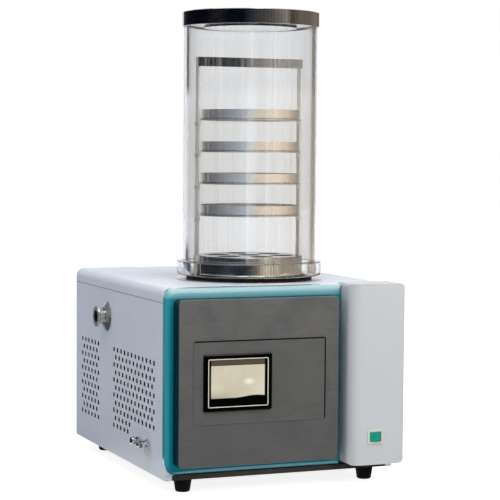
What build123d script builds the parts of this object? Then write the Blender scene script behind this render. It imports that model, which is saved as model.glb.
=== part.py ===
from build123d import *
import math
import os

# Benchtop freeze dryer: a sheet-metal cabinet with a moulded front, a cold trap let into its top,
# and a clear bell over the trap with a rack of four trays.
# Millimetres. +X is the right side seen from the front, +Y the back, +Z up.
# Everything is drawn in the cabinet's own frame: X = 0 is the middle of the cabinet, Y = 0 the front
# of its base and Z = 0 its lower edge. The last step moves all to the middle of the overall footprint.

# ---- cabinet ----
CAB_W = 450.0            # over the two side panels
CAB_D = 553.0            # base front to rear panel
CAB_H = 345.0            # lower edge to top plate
SHEET = 1.5              # folded steel sheet
SKIRT_H = 27.0           # the top cover's skirts, down to the side panels
TOP_EDGE_R = 15.0        # rounded long edges of the top cover
RETURN_W = 12.5          # folded returns of the side panels
SIDE_CORNER_R = 7.0      # lower back corner of a side panel
FIT = 0.3                # gap between neighbouring covers
BASE_LIP = 9.4           # height of the base pan's front lip
BASE_WALL = 22.0         # height of its other three walls

# ---- feet ----
FOOT_H = 25.0
FOOT_TOP_R = 17.0
FOOT_BOTTOM_R = 13.5
FOOT_EDGE = 2.0
FOOT_IN_X = 43.0         # from the cabinet's side
FOOT_IN_FRONT = 28.0
FOOT_IN_BACK = 66.0

# ---- moulded front ----
BEZEL_Z0 = 10.0
BEZEL_FRONT_Y = -3.0
BEZEL_BACK_Y = 17.0
BEZEL_WALL = 3.0
BEZEL_CORNER_R = 20.0    # the two left corners
BEZEL_EDGE_R = 9.0       # its outer front edge, a soft roll
BORDER_LEFT = 13.5
BORDER_RIGHT = 18.0
BORDER_TOP = 19.0
BORDER_BOTTOM = 16.0
PANEL_CORNER_R = 9.0
PANEL_PROUD = 27.0       # the panel stands this far in front of the bezel
PANEL_T = 2.2
PANEL_EDGE = 0.8
HOUSING_WALL = 2.5

# ---- column cover ----
COLUMN_W = 107.0         # of the cabinet's width
COLUMN_FRONT_Y = -48.0
COLUMN_Z0 = 14.0
COLUMN_TOP = 348.5
COLUMN_OVERHANG = 1.5    # past the right side panel
COLUMN_WALL = 2.5
COLUMN_LEFT_R = 22.0     # large roll of its left front edge
COLUMN_RIGHT_R = 5.0
COLUMN_CORNER_R = 12.0   # corners seen from the front, right side
COLUMN_CORNER_LEFT_R = 6.0

# ---- touch screen and its surround ----
OVERLAY_LEFT = 28.0      # in from the panel's left edge
OVERLAY_RIGHT = 26.5
OVERLAY_H = 150.0
OVERLAY_T = 0.8
OVERLAY_UP = 151.5       # its middle above the panel's lower edge
SCREEN_W = 131.0
SCREEN_H = 102.0
SCREEN_IN = 112.0        # its middle from the panel's left edge
SCREEN_UP = 150.5        # and above its lower edge
SCREEN_PROUD = 5.0
SCREEN_BODY_W = 119.0
SCREEN_BODY_H = 93.0
SCREEN_BODY_D = 30.0
WINDOW_W = 115.0
WINDOW_H = 86.0
WINDOW_DEEP = 1.5

# ---- power rocker ----
ROCKER_IN = 59.5         # its middle from the column's right side
ROCKER_Z = 66.0
ROCKER_FRAME_W = 31.0
ROCKER_FRAME_H = 25.0
ROCKER_FRAME_T = 2.0
ROCKER_W = 23.0
ROCKER_H = 18.0
ROCKER_BODY_D = 20.0
ROCKER_WALL = 1.5
ROCKER_TILT = 8.0        # degrees each side of the middle
ROCKER_CLEAR = 0.35
ROCKER_PIVOT = 3.0       # the pivot behind the column's face
ROCKER_PIN_R = 1.2
ROCKER_DEEP = 7.0        # the rocker's body behind its pivot
ROCKER_NOSE = 6.5        # its ridge in front of the pivot

# ---- side vents: upright slots in rows, every other row set back by half a pitch ----
SLOT_W = 8.5
SLOT_H = 8.5
SLOT_PITCH = 21.4
ROW_PITCH = 14.75
FIRST_ROW_Z = 204.4
VENT_ROWS = 11
RIGHT_VENT_ROWS = 7
LEFT_REAR_VENT_IN = 152.6    # frontmost slot of the rear field, from the back
LEFT_REAR_VENT_N = 6
LEFT_FRONT_VENT_Y = 63.5     # frontmost slot of the front field
LEFT_FRONT_VENT_N = 12
LEFT_FRONT_FULL_ROWS = 9     # the two rows under these are short, over the drain fittings
SHORT_ROW_N = 5

# ---- rear panel ----
REAR_SLOT_Z = 224.0      # the topmost slot
REAR_SLOT_W = 70.0
REAR_SLOT_H = 5.5
REAR_SLOT_GAP = 14.0
REAR_SLOT_ROWS = 11
INLET_X = -72.0
INLET_Z = 60.0
INLET_W = 48.0
INLET_H = 22.5
INLET_FLANGE_W = 58.0
INLET_FLANGE_H = 31.0
INLET_FLANGE_T = 3.0

# ---- bell ----
BELL_X = 6.0             # axis of bell, rack and cold trap
TRAP_FLANGE_EDGE = 2.0   # past the bell's flange
TRAP_FLANGE_T = 2.0
TRAP_MOUTH_IN = 3.0      # the mouth inside the rack's base
TRAP_DEEP = 160.0
TRAP_WALL = 1.5
TRAP_EDGE = 12.0         # drawn-in edge of its floor
DRAIN_STUB_R = 6.0
DRAIN_STUB_L = 18.0
TRAP_HOLE_CLEAR = 6.0    # hole in the top cover past the trap wall
SEAL_T = 7.7
SEAL_W = 8.0
BELL_FLANGE_OUT = 11.0   # past the tube
BELL_FLANGE_T = 26.0
BELL_FLANGE_IN = 5.5     # inside the tube's bore
BELL_FLANGE_SOFT = 1.2
BELL_R = 127.0
BELL_WALL = 9.5
BELL_H = 445.0
LID_BAND_CLEAR = 0.8     # round the tube
LID_BAND_T = 3.5
LID_BAND_H = 27.3
LID_OVERLAP = 2.5        # band below the bell's rim
LID_LIP_IN = 11.0        # over the tube's rim
LID_LIP_T = 2.0
LID_BOSS_CLEAR = 29.5    # inside the tube's bore
LID_BOSS_T = 4.5

# ---- rack ----
RACK_FOOT_CLEAR = 2.0    # inside the bell's flange
RACK_FOOT_W = 9.0        # the base's turned-out foot
RACK_BASE_H = 44.0
RACK_BASE_T = 1.5
RACK_HOLES = 6           # round the middle one
RACK_HOLE_RIM = 17.0     # between those holes and the base's side
RACK_HOLE_WEB = 18.0     # and to the middle one
POST_STAND = 2.0         # a post's gap to the base's side
POST_W = 15.0
POST_T = 3.0
BAR_H = 17.5
BAR_T = 3.0
RACK_TOP_Z = 765.0
TRAY_IN = 3.0            # inside its ring's edge
TRAY_H = 18.0
TRAY_T = 1.0
TRAY_EDGE = 2.0
TRAY_COUNT = 4
TRAY_FIRST_Z = 469.0     # underside of the lowest tray
TRAY_PITCH = 60.0
RING_IN = 5.5            # a ring's edge inside the posts
RING_W = 13.5
RING_T = 2.5
TAB_H = 12.0
TAB_T = 1.5
TAB_SCREW_DROP = 8.5     # screw below the tray's underside
HEX_R = 3.9
HEX_T = 3.0

# ---- vacuum port, a 25 mm clamped-flange port ----
PORT_BEHIND = 33.5       # its middle behind the foam
PORT_DOWN = 82.7         # and below the trap's top
PORT_REACH = 22.5        # flange face past the side panel
PORT_BORE_R = 12.0
PORT_PIPE_R = 14.0
PORT_FLANGE_R = 20.0
PORT_FLANGE_T = 3.0
PORT_CONE_T = 3.2
ESCUTCHEON_R = 29.3
ESCUTCHEON_T = 7.0

# ---- small fittings low on the left side ----
FITTING_Z = 52.0
VENT_Y = 141.0
DRAIN_Y = 98.0
FITTING_HOLE_R = 6.0
HOSE_R = 5.5
SPIGOT_L = 14.0          # a fitting's spigot inside the panel
VENT_NUT_R = 8.0
VENT_NUT_T = 6.0
KNOB_STAND = 8.0         # the vent valve's knob past the panel
KNOB_R = 7.0
KNOB_L = 11.0
KNOB_SOFT = 3.5          # its rounded rims
STEM_R = 3.0
STEM_IN = 8.0            # how far the stem enters the knob
DRAIN_NUT_R = 8.5
DRAIN_NUT_T = 4.0
VALVE_REACH = 9.0        # the drain valve's spindle past the panel
VALVE_BODY_R = 6.5
NOZZLE_REACH = 22.0      # its outlet past the panel
NOZZLE_R = 5.5
NOZZLE_BORE_R = 2.5
SPINDLE_L = 15.0
LEVER_HUB_R = 5.5
LEVER_W = 7.0
LEVER_T = 3.0
LEVER_L = 13.0
LEVER_TURN = 9.0         # its end, turned forward
GAUGE_IN = 120.0         # from the left side
GAUGE_R = 15.0
GAUGE_L = 58.0

# ---- cooling gear ----
JACKET_T = 4.0
FOAM_WALL = 31.2
FOAM_FRONT_GAP = 24.0    # between the front wall and the foam
FOAM_CORNER_R = 18.0
FOAM_UNDER = 37.0        # below the trap's floor
COMP_IN_X = 107.0        # its middle from the right side
COMP_IN_Y = 117.0        # and from the back
COMP_R = 76.0
COMP_H = 178.0
GROMMET_H = 14.0
GROMMET_R = 10.0
COMP_PLATE_T = 3.0
COMP_PLATE_W = 190.0
COMP_PLATE_D = 140.0
COMP_PLATE_CORNER_R = 12.0
COMP_DOME_R = 46.0       # the shell's rounded top
COMP_FOOT_R = 14.0       # and its drawn-in foot
COMP_SEAM = 5.0          # weld band round its middle
COMP_SEAM_UP = 88.0
TERMINAL_BOX_W = 56.0
TERMINAL_BOX_H = 44.0
TERMINAL_BOX_T = 12.0
TERMINAL_BOX_UP = 40.0
TERMINAL_BOX_SOFT = 3.0
COND_IN = 19.0           # the condenser's core from the left side
COND_T = 38.0
COND_BACK_GAP = 13.0
COND_W = 188.0
COND_Z0 = 32.0
COND_H = 188.0
COND_FINS = 22
HEADER_R = 7.0
HEADER_STUB = 28.0       # a header below the core
LINE_LOW_Z = 11.0        # the liquid line under the fan
FAN_R = 78.0
FAN_HUB_R = 24.0
FAN_HUB_T = 20.0
FAN_BLADES = 5
FAN_ROOT = 27.0          # a blade's width at the hub
FAN_TIP = 53.0           # and at the ring
FAN_PITCH = 32.0         # degrees
BLADE_T = 1.6
SHROUD_DEEP = 26.0
MOTOR_R = 27.0
MOTOR_L = 46.0
SHAFT_R = 4.0
SHAFT_CLEAR = 0.05
LINE_R = 4.0
DRIER_LEFT = 66.0        # of the bell's axis
DRIER_BEHIND = 72.5      # and behind it
DRIER_Z0 = 58.0
DRIER_Z1 = 130.0
DRIER_R = 12.0
SUCTION_R = 5.5
SUCTION_IN = 23.0        # where it leaves the foam, from the right side of the foam
SUCTION_DOWN = 55.0      # below the top plate
SUCTION_AHEAD = 20.0     # of the compressor's middle
SUCTION_BEND_R = 24.0

# ---- electrics ----
BOARD_IN = 17.0          # from the right side
BOARD_W = 60.0
BOARD_Z0 = 130.0
BOARD_Z1 = 250.0
BOARD_EDGE = 4.0
RELAYS = 3
RELAY_W = 15.0
RELAY_PITCH = 18.5
RELAY_H = 13.5           # off the wall side of the board
TERMINALS_H = 13.0
CHIP_H = 4.0
STUD_R = 3.0
STUD_L = 10.0
SUPPLY_IN = 20.0         # from the right side
SUPPLY_W = 93.0
SUPPLY_D = 160.0
SUPPLY_H = 48.0
SUPPLY_Y0 = 60.0

# ---- values worked out from those above ----
HALF_W = CAB_W / 2
LEFT = -HALF_W
SEAM_Z = CAB_H - SKIRT_H
FRONT_WALL_Y = BEZEL_BACK_Y
INNER_Y = FRONT_WALL_Y + SHEET
BEZEL_X1 = HALF_W - COLUMN_W
PANEL_X0 = LEFT + BORDER_LEFT
PANEL_X1 = BEZEL_X1 - BORDER_RIGHT
PANEL_Z0 = BEZEL_Z0 + BORDER_BOTTOM
PANEL_Z1 = CAB_H - BORDER_TOP
HOUSING_FRONT_Y = BEZEL_FRONT_Y - PANEL_PROUD + PANEL_T
PANEL_FRONT_Y = HOUSING_FRONT_Y - PANEL_T
OVERLAY_W = PANEL_X1 - PANEL_X0 - OVERLAY_LEFT - OVERLAY_RIGHT
OVERLAY_X = PANEL_X0 + OVERLAY_LEFT + OVERLAY_W / 2
OVERLAY_Z = PANEL_Z0 + OVERLAY_UP
SCREEN_X = PANEL_X0 + SCREEN_IN
SCREEN_Z = PANEL_Z0 + SCREEN_UP
COLUMN_X0 = BEZEL_X1 + FIT
COLUMN_X1 = HALF_W + COLUMN_OVERHANG
ROCKER_X = COLUMN_X1 - ROCKER_IN
LEFT_REAR_VENT_Y = CAB_D - LEFT_REAR_VENT_IN
DRAIN_BODY_X = LEFT - VALVE_REACH
DRAIN_SPINDLE_Y = DRAIN_Y - SPINDLE_L
ROCKER_BODY_W = ROCKER_W + 2 * ROCKER_CLEAR + 2 * ROCKER_WALL
ROCKER_BODY_H = ROCKER_H + 2 * ROCKER_CLEAR + 2 * ROCKER_WALL
ROCKER_PIVOT_Y = COLUMN_FRONT_Y + ROCKER_PIVOT
BELL_BORE = BELL_R - BELL_WALL
BELL_FLANGE_BORE = BELL_BORE - BELL_FLANGE_IN
BELL_FLANGE_R = BELL_R + BELL_FLANGE_OUT
SEAL_R = BELL_FLANGE_BORE + SEAL_W
RACK_FOOT_R = BELL_FLANGE_BORE - RACK_FOOT_CLEAR
RACK_BASE_R = RACK_FOOT_R - RACK_FOOT_W
RACK_HOLE_R = (RACK_BASE_R - RACK_HOLE_RIM - RACK_HOLE_WEB) / 3
RACK_HOLE_OUT = RACK_BASE_R - RACK_HOLE_RIM - RACK_HOLE_R
TRAP_R = RACK_BASE_R - TRAP_MOUTH_IN
TRAP_FLANGE_R = BELL_FLANGE_R + TRAP_FLANGE_EDGE
TRAP_TOP = CAB_H + TRAP_FLANGE_T
TRAP_FLOOR_Z = TRAP_TOP - TRAP_DEEP
SEAL_TOP = TRAP_TOP + SEAL_T
BELL_Z0 = SEAL_TOP + BELL_FLANGE_T
LID_BAND_R = BELL_R + LID_BAND_CLEAR + LID_BAND_T
LID_LIP_R = BELL_R - LID_LIP_IN
LID_BOSS_R = BELL_BORE - LID_BOSS_CLEAR
BELL_TOP = BELL_Z0 + BELL_H
LID_TOP = BELL_TOP - LID_OVERLAP + LID_BAND_H
LID_PLATE_TOP = LID_TOP - LID_LIP_T - FIT
RACK_BASE_TOP = TRAP_TOP + RACK_BASE_H
POST_IN = RACK_BASE_R + POST_STAND
POST_OUT = POST_IN + POST_T
RING_R = POST_IN - RING_IN
RING_BORE = RING_R - RING_W
TRAY_R = RING_R - TRAY_IN
TRAY_ZS = [TRAY_FIRST_Z + TRAY_PITCH * i for i in range(TRAY_COUNT)]
BASE_FLOOR = SHEET
JACKET_R = TRAP_R + TRAP_WALL + FIT + JACKET_T
FOAM_SIDE = 2 * (JACKET_R + FOAM_WALL)
FOAM_Z0 = TRAP_FLOOR_Z - FOAM_UNDER
BELL_Y = INNER_Y + FOAM_FRONT_GAP + FOAM_SIDE / 2
SUCTION_X = BELL_X + FOAM_SIDE / 2 - SUCTION_IN
PORT_Y = BELL_Y + FOAM_SIDE / 2 + PORT_BEHIND
PORT_Z = TRAP_TOP - PORT_DOWN
GAUGE_X = LEFT + GAUGE_IN
DRIER_X = BELL_X - DRIER_LEFT
DRIER_Y = BELL_Y + DRIER_BEHIND
COMP_X = HALF_W - COMP_IN_X
COMP_Y = CAB_D - COMP_IN_Y
COMP_TOP = BASE_FLOOR + GROMMET_H + COMP_PLATE_T + COMP_H
COND_X0 = LEFT + COND_IN
COND_Y0 = CAB_D - COND_BACK_GAP - COND_W
BLADE_REACH = (FAN_TIP / 2 + 8) * math.sin(math.radians(FAN_PITCH)) + BLADE_T
FAN_X = COND_X0 + COND_T + 3 + BLADE_REACH
ARM_X = FAN_X + BLADE_REACH + 3
FAN_Y = COND_Y0 + COND_W / 2
FAN_Z = COND_Z0 + COND_H / 2
BOARD_X1 = HALF_W - BOARD_IN
BOARD_X0 = BOARD_X1 - BOARD_W

# the overall footprint's middle, and the bench under the feet
REACH_LEFT = LEFT - PORT_REACH
REACH_FRONT = ROCKER_PIVOT_Y - ROCKER_NOSE * math.cos(math.radians(ROCKER_TILT))
REACH_BACK = CAB_D + INLET_FLANGE_T
SHIFT = (-(REACH_LEFT + COLUMN_X1) / 2, -(REACH_FRONT + REACH_BACK) / 2, FOOT_H)

FAR = 10000.0            # beyond everything

nodes = {}


def slab(x0, x1, y0, y1, z0, z1):
    """A box given by its two corners."""
    size = (x1 - x0, y1 - y0, z1 - z0)
    return Pos((x0 + x1) / 2, (y0 + y1) / 2, (z0 + z1) / 2) * Box(*size)


def disc(radius, z0, z1, x=BELL_X, y=BELL_Y):
    """An upright cylinder, on the bell's axis unless told otherwise."""
    return Pos(x, y, (z0 + z1) / 2) * Cylinder(radius, z1 - z0)


def ring(outer, inner, z0, z1, x=BELL_X, y=BELL_Y):
    return disc(outer, z0, z1, x, y) - disc(inner, z0 - 1, z1 + 1, x, y)


def rod_x(radius, x0, x1, y, z):
    return Pos((x0 + x1) / 2, y, z) * Rot(0, 90, 0) * Cylinder(radius, x1 - x0)


def rod_y(radius, y0, y1, x, z):
    return Pos(x, (y0 + y1) / 2, z) * Rot(90, 0, 0) * Cylinder(radius, y1 - y0)


def plate_xz(width, height, corner, y0, y1, x, z):
    """A plate that faces the front, with rounded corners."""
    face = Plane.XZ * RectangleRounded(width, height, corner)
    return Pos(x, y1, z) * extrude(face, y1 - y0)


def turned(points, x=BELL_X, y=BELL_Y):
    """A body of revolution about an upright axis; points are (radius, height)."""
    outline = Polyline(*[(r, 0, z) for r, z in points], close=True)
    return Pos(x, y, 0) * revolve(make_face(outline), Axis.Z)


def edges_at(solid, axis, low=-FAR, high=FAR, along=None):
    """The edges whose centre lies between two values on an axis, and that run along another."""
    picked = solid.edges() if along is None else solid.edges().filter_by(along)
    return picked.filter_by_position(axis, low, high)


def tube(points, radii, radius, bore=0.0):
    """A pipe along straight runs joined by tangent arcs."""
    path = FilletPolyline(*points, radius=radii) if len(points) > 2 else Line(*points)
    start = Plane(path @ 0, z_dir=path % 0)
    pipe = sweep(start * Circle(radius), path=path)
    if bore:
        pipe -= sweep(start * Circle(bore), path=path)
    return pipe


# ---------------------------------------------------------------- cabinet
def base_pan():
    x0, x1 = LEFT + SHEET + FIT, HALF_W - SHEET - FIT
    y0, y1 = SHEET + FIT, CAB_D - SHEET
    pan = slab(x0, x1, y0, y1, 0, BASE_WALL)
    pan -= slab(x0 + SHEET, x1 - SHEET, y0 + SHEET, y1 - SHEET, BASE_FLOOR, BASE_WALL + 1)
    pan -= slab(x0 - 1, x1 + 1, y0 - 1, FRONT_WALL_Y + FIT, BASE_LIP, BASE_WALL + 1)
    return pan


def foot(x, y):
    """A moulded foot that tapers to the bench and has a bevelled rim."""
    rim = FOOT_BOTTOM_R - FOOT_EDGE
    return turned([(0, -FOOT_H), (rim, -FOOT_H), (FOOT_BOTTOM_R, -FOOT_H + FOOT_EDGE), (FOOT_TOP_R, 0),
                   (0, 0)], x, y)


def slot_row(x, y_first, count, z):
    """A row of upright slots through a side panel."""
    return [slab(x - 5, x + 5, y_first + i * SLOT_PITCH - SLOT_W / 2,
                 y_first + i * SLOT_PITCH + SLOT_W / 2, z - SLOT_H / 2, z + SLOT_H / 2)
            for i in range(count)]


def slot_field(x, y_first, count, rows):
    """Rows of slots; each second row is one slot shorter and set back by half a pitch."""
    slots = []
    for row in range(rows):
        odd = row % 2
        slots += slot_row(x, y_first + odd * SLOT_PITCH / 2, count - odd, FIRST_ROW_Z - row * ROW_PITCH)
    return slots


def short_rows(x, y_last, rows):
    """The rows under the front field, which stop short over the drain fittings."""
    slots = []
    for row in rows:
        back = y_last - row % 2 * SLOT_PITCH / 2
        first = back - (SHORT_ROW_N - 1) * SLOT_PITCH
        slots += slot_row(x, first, SHORT_ROW_N, FIRST_ROW_Z - row * ROW_PITCH)
    return slots


def side_sheet(side):
    """A side panel with its folded returns; side is -1 for the left and 1 for the right."""
    outer, inner = side * HALF_W, side * (HALF_W - SHEET)
    fold = side * (HALF_W - RETURN_W)
    x0, x1 = min(outer, inner), max(outer, inner)
    f0, f1 = min(outer, fold), max(outer, fold)
    panel = slab(x0, x1, FRONT_WALL_Y, CAB_D, 0, SEAM_Z - FIT)
    panel += slab(x0, x1, 0, FRONT_WALL_Y, 0, BASE_LIP)
    panel += slab(f0, f1, 0, SHEET, 0, BASE_LIP)
    panel += slab(f0, f1, CAB_D - SHEET, CAB_D, 0, SEAM_Z - FIT)
    corner = slab(x0 - 1, x1 + RETURN_W, CAB_D - SIDE_CORNER_R, CAB_D + 1, -1, SIDE_CORNER_R)
    if side > 0:
        corner = slab(x0 - RETURN_W, x1 + 1, CAB_D - SIDE_CORNER_R, CAB_D + 1, -1, SIDE_CORNER_R)
    round_off = corner - rod_x(SIDE_CORNER_R, x0 - RETURN_W - 1, x1 + RETURN_W + 1,
                               CAB_D - SIDE_CORNER_R, SIDE_CORNER_R)
    return panel - round_off


def left_side_panel():
    panel = side_sheet(-1)
    slots = slot_field(LEFT, LEFT_REAR_VENT_Y, LEFT_REAR_VENT_N, VENT_ROWS)
    slots += slot_field(LEFT, LEFT_FRONT_VENT_Y, LEFT_FRONT_VENT_N, LEFT_FRONT_FULL_ROWS)
    last = LEFT_FRONT_VENT_Y + (LEFT_FRONT_VENT_N - 1) * SLOT_PITCH
    slots += short_rows(LEFT, last, range(LEFT_FRONT_FULL_ROWS, VENT_ROWS))
    panel -= Compound(children=slots)
    for y, z, r in ((PORT_Y, PORT_Z, PORT_PIPE_R + FIT), (VENT_Y, FITTING_Z, FITTING_HOLE_R),
                    (DRAIN_Y, FITTING_Z, FITTING_HOLE_R)):
        panel -= rod_x(r, LEFT - 5, LEFT + 5, y, z)
    return panel


def right_side_panel():
    slots = slot_field(HALF_W, LEFT_REAR_VENT_Y, LEFT_REAR_VENT_N, RIGHT_VENT_ROWS)
    return side_sheet(1) - Compound(children=slots)


def top_block(inset, y0, y1):
    """The cover's outline with rounded long edges, drawn inset by a wall."""
    half, top, radius = HALF_W - inset, CAB_H - inset, TOP_EDGE_R - inset
    block = slab(-half, half, y0, y1, SEAM_Z, top)
    return fillet(edges_at(block, Axis.Z, top - 0.1, top + 0.1, Axis.Y), radius)


def top_cover():
    cover = top_block(0, FRONT_WALL_Y, CAB_D)
    cover -= top_block(SHEET, FRONT_WALL_Y - 1, CAB_D - SHEET)
    return cover - disc(TRAP_R + TRAP_WALL + TRAP_HOLE_CLEAR, SEAM_Z, CAB_H + 1)


def front_wall():
    """The inner wall behind the mouldings, with the pressed-in studs that hold the control board."""
    inner = HALF_W - 2 * (SHEET + FIT)
    wall = slab(-inner, inner, FRONT_WALL_Y, INNER_Y, BASE_FLOOR, CAB_H - TOP_EDGE_R)
    wall -= slab(SCREEN_X - SCREEN_BODY_W / 2, SCREEN_X + SCREEN_BODY_W / 2, 0, 30,
                 SCREEN_Z - SCREEN_BODY_H / 2, SCREEN_Z + SCREEN_BODY_H / 2)
    wall -= slab(COLUMN_X0 + 22, COLUMN_X1 - 27, 0, 30, 60, BOARD_Z0 - 10)
    for x in (BOARD_X0 + STUD_R, BOARD_X1 - STUD_R):
        for z in (BOARD_Z0 + STUD_R, BOARD_Z1 - STUD_R):
            wall += rod_y(STUD_R, FRONT_WALL_Y + 0.5, INNER_Y + STUD_L, x, z)
    return wall


def rear_panel():
    """The rear panel with two columns of long air slots behind the compressor."""
    half = HALF_W - RETURN_W - FIT
    panel = slab(-half, half, CAB_D - SHEET, CAB_D, BASE_LIP, SEAM_Z - FIT)
    slots = []
    for row in range(REAR_SLOT_ROWS):
        z = REAR_SLOT_Z - row * ROW_PITCH
        for side in (-1, 1):
            x = COMP_X + side * (REAR_SLOT_W + REAR_SLOT_GAP) / 2
            slots.append(slab(x - REAR_SLOT_W / 2, x + REAR_SLOT_W / 2, CAB_D - 5, CAB_D + 5,
                              z - REAR_SLOT_H / 2, z + REAR_SLOT_H / 2))
    panel -= Compound(children=slots)
    half_w, half_h = INLET_W / 2 + FIT, INLET_H / 2 + FIT
    return panel - slab(INLET_X - half_w, INLET_X + half_w, CAB_D - 5, CAB_D + 5,
                        INLET_Z - half_h, INLET_Z + half_h)


def power_inlet():
    """A three-pin inlet: flange outside the rear panel, body inside, blades in the open socket."""
    mouth = CAB_D + INLET_FLANGE_T
    flange = slab(INLET_X - INLET_FLANGE_W / 2, INLET_X + INLET_FLANGE_W / 2, CAB_D, mouth,
                  INLET_Z - INLET_FLANGE_H / 2, INLET_Z + INLET_FLANGE_H / 2)
    body = slab(INLET_X - INLET_W / 2, INLET_X + INLET_W / 2, CAB_D - 28, CAB_D + 1,
                INLET_Z - INLET_H / 2, INLET_Z + INLET_H / 2)
    socket_w, socket_h, deep = 25.0, 16.5, 17.0
    socket = slab(INLET_X - socket_w / 2, INLET_X + socket_w / 2, mouth - deep, mouth + 1,
                  INLET_Z - socket_h / 2, INLET_Z + socket_h / 2)
    inlet = flange + body - socket
    for dx, dz in ((-7, -2), (0, 2), (7, -2)):
        inlet += slab(INLET_X + dx - 1, INLET_X + dx + 1, mouth - deep - 1, mouth - 4,
                      INLET_Z + dz - 2, INLET_Z + dz + 2)
    return inlet


# ---------------------------------------------------------------- moulded front
def bezel_block(inset, y0, y1):
    """The bezel's outline, its left corners well rounded, drawn inset by a wall."""
    block = slab(LEFT + inset, BEZEL_X1 - inset, y0, y1, BEZEL_Z0 + inset, CAB_H - inset)
    left_edges = edges_at(block, Axis.X, LEFT + inset - 0.1, LEFT + inset + 0.1, Axis.Y)
    return fillet(left_edges, BEZEL_CORNER_R - inset)


def panel_outline(grow, y0, y1):
    """The panel's rounded outline as a block, grown by a gap."""
    width, height = PANEL_X1 - PANEL_X0 + 2 * grow, PANEL_Z1 - PANEL_Z0 + 2 * grow
    return plate_xz(width, height, PANEL_CORNER_R + grow, y0, y1,
                    (PANEL_X0 + PANEL_X1) / 2, (PANEL_Z0 + PANEL_Z1) / 2)


def front_bezel():
    """The teal moulded frame: a U section open to the back."""
    bezel = bezel_block(0, BEZEL_FRONT_Y, BEZEL_BACK_Y)
    front_edges = edges_at(bezel, Axis.Y, BEZEL_FRONT_Y - 0.1, BEZEL_FRONT_Y + 0.1)
    bezel = fillet(front_edges, BEZEL_EDGE_R)
    hollow = bezel_block(BEZEL_WALL, BEZEL_FRONT_Y + BEZEL_WALL, BEZEL_BACK_Y + 1)
    front_edges = edges_at(hollow, Axis.Y, -FAR, BEZEL_FRONT_Y + BEZEL_WALL + 0.1)
    hollow = fillet(front_edges, BEZEL_EDGE_R - BEZEL_WALL)
    bezel -= hollow - panel_outline(FIT + BEZEL_WALL, BEZEL_FRONT_Y - 5, BEZEL_BACK_Y + 5)
    return bezel - panel_outline(FIT, BEZEL_FRONT_Y - 5, BEZEL_BACK_Y + 5)


def screen_hole(y0, y1):
    half_w, half_h = SCREEN_BODY_W / 2 + FIT, SCREEN_BODY_H / 2 + FIT
    return slab(SCREEN_X - half_w, SCREEN_X + half_w, y0, y1, SCREEN_Z - half_h, SCREEN_Z + half_h)


def panel_housing():
    """The deep dark surround that carries the panel, open to the back."""
    housing = panel_outline(0, HOUSING_FRONT_Y, BEZEL_BACK_Y)
    housing -= panel_outline(-HOUSING_WALL, HOUSING_FRONT_Y + HOUSING_WALL, BEZEL_BACK_Y + 1)
    return housing - screen_hole(HOUSING_FRONT_Y - 5, HOUSING_FRONT_Y + 10)


def front_panel():
    plate = panel_outline(0, PANEL_FRONT_Y, HOUSING_FRONT_Y)
    front_edges = edges_at(plate, Axis.Y, PANEL_FRONT_Y - 0.1, PANEL_FRONT_Y + 0.1)
    plate = chamfer(front_edges, PANEL_EDGE)
    return plate - screen_hole(PANEL_FRONT_Y - 5, HOUSING_FRONT_Y + 5)


def overlay():
    """The thin membrane round the touch screen, with its window."""
    sheet = plate_xz(OVERLAY_W, OVERLAY_H, 3, PANEL_FRONT_Y - OVERLAY_T, PANEL_FRONT_Y, OVERLAY_X, OVERLAY_Z)
    half_w, half_h = SCREEN_W / 2 + FIT, SCREEN_H / 2 + FIT
    return sheet - slab(SCREEN_X - half_w, SCREEN_X + half_w, PANEL_FRONT_Y - 5, PANEL_FRONT_Y + 5,
                        SCREEN_Z - half_h, SCREEN_Z + half_h)


def screen_case():
    front = PANEL_FRONT_Y - SCREEN_PROUD
    case = plate_xz(SCREEN_W, SCREEN_H, 4, front, PANEL_FRONT_Y, SCREEN_X, SCREEN_Z)
    outer = case.faces().sort_by(Axis.Y)[0].edges()
    case = chamfer(outer, 1.5)
    case += slab(SCREEN_X - SCREEN_BODY_W / 2, SCREEN_X + SCREEN_BODY_W / 2, PANEL_FRONT_Y - 1,
                 PANEL_FRONT_Y + SCREEN_BODY_D, SCREEN_Z - SCREEN_BODY_H / 2, SCREEN_Z + SCREEN_BODY_H / 2)
    return case - slab(SCREEN_X - WINDOW_W / 2, SCREEN_X + WINDOW_W / 2, front - 1, front + WINDOW_DEEP,
                       SCREEN_Z - WINDOW_H / 2, SCREEN_Z + WINDOW_H / 2)


def screen_glass():
    front = PANEL_FRONT_Y - SCREEN_PROUD
    half_w, half_h = WINDOW_W / 2 - FIT, WINDOW_H / 2 - FIT
    return slab(SCREEN_X - half_w, SCREEN_X + half_w, front + FIT, front + WINDOW_DEEP,
                SCREEN_Z - half_h, SCREEN_Z + half_h)


def column_block(inset):
    """The column's outline, drawn inset by a wall: its plan and its front view, each with its own corners."""
    x0, x1 = COLUMN_X0 + inset, COLUMN_X1 - inset
    y0, y1 = COLUMN_FRONT_Y + inset, FRONT_WALL_Y + (1 if inset else 0)
    z0, z1 = COLUMN_Z0 + inset, COLUMN_TOP - inset
    plan = slab(x0, x1, y0, y1, z0, z1)
    plan = fillet(edges_at(plan, Axis.Y, -FAR, y0 + 0.1, Axis.Z).sort_by(Axis.X)[0], COLUMN_LEFT_R - inset)
    plan = fillet(edges_at(plan, Axis.Y, -FAR, y0 + 0.1, Axis.Z).sort_by(Axis.X)[-1], COLUMN_RIGHT_R - inset)
    front = slab(x0, x1, y0, y1, z0, z1)
    front = fillet(edges_at(front, Axis.X, x1 - 0.1, FAR, Axis.Y), COLUMN_CORNER_R - inset)
    front = fillet(edges_at(front, Axis.X, -FAR, x0 + 0.1, Axis.Y), COLUMN_CORNER_LEFT_R - inset)
    return plan & front


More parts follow.
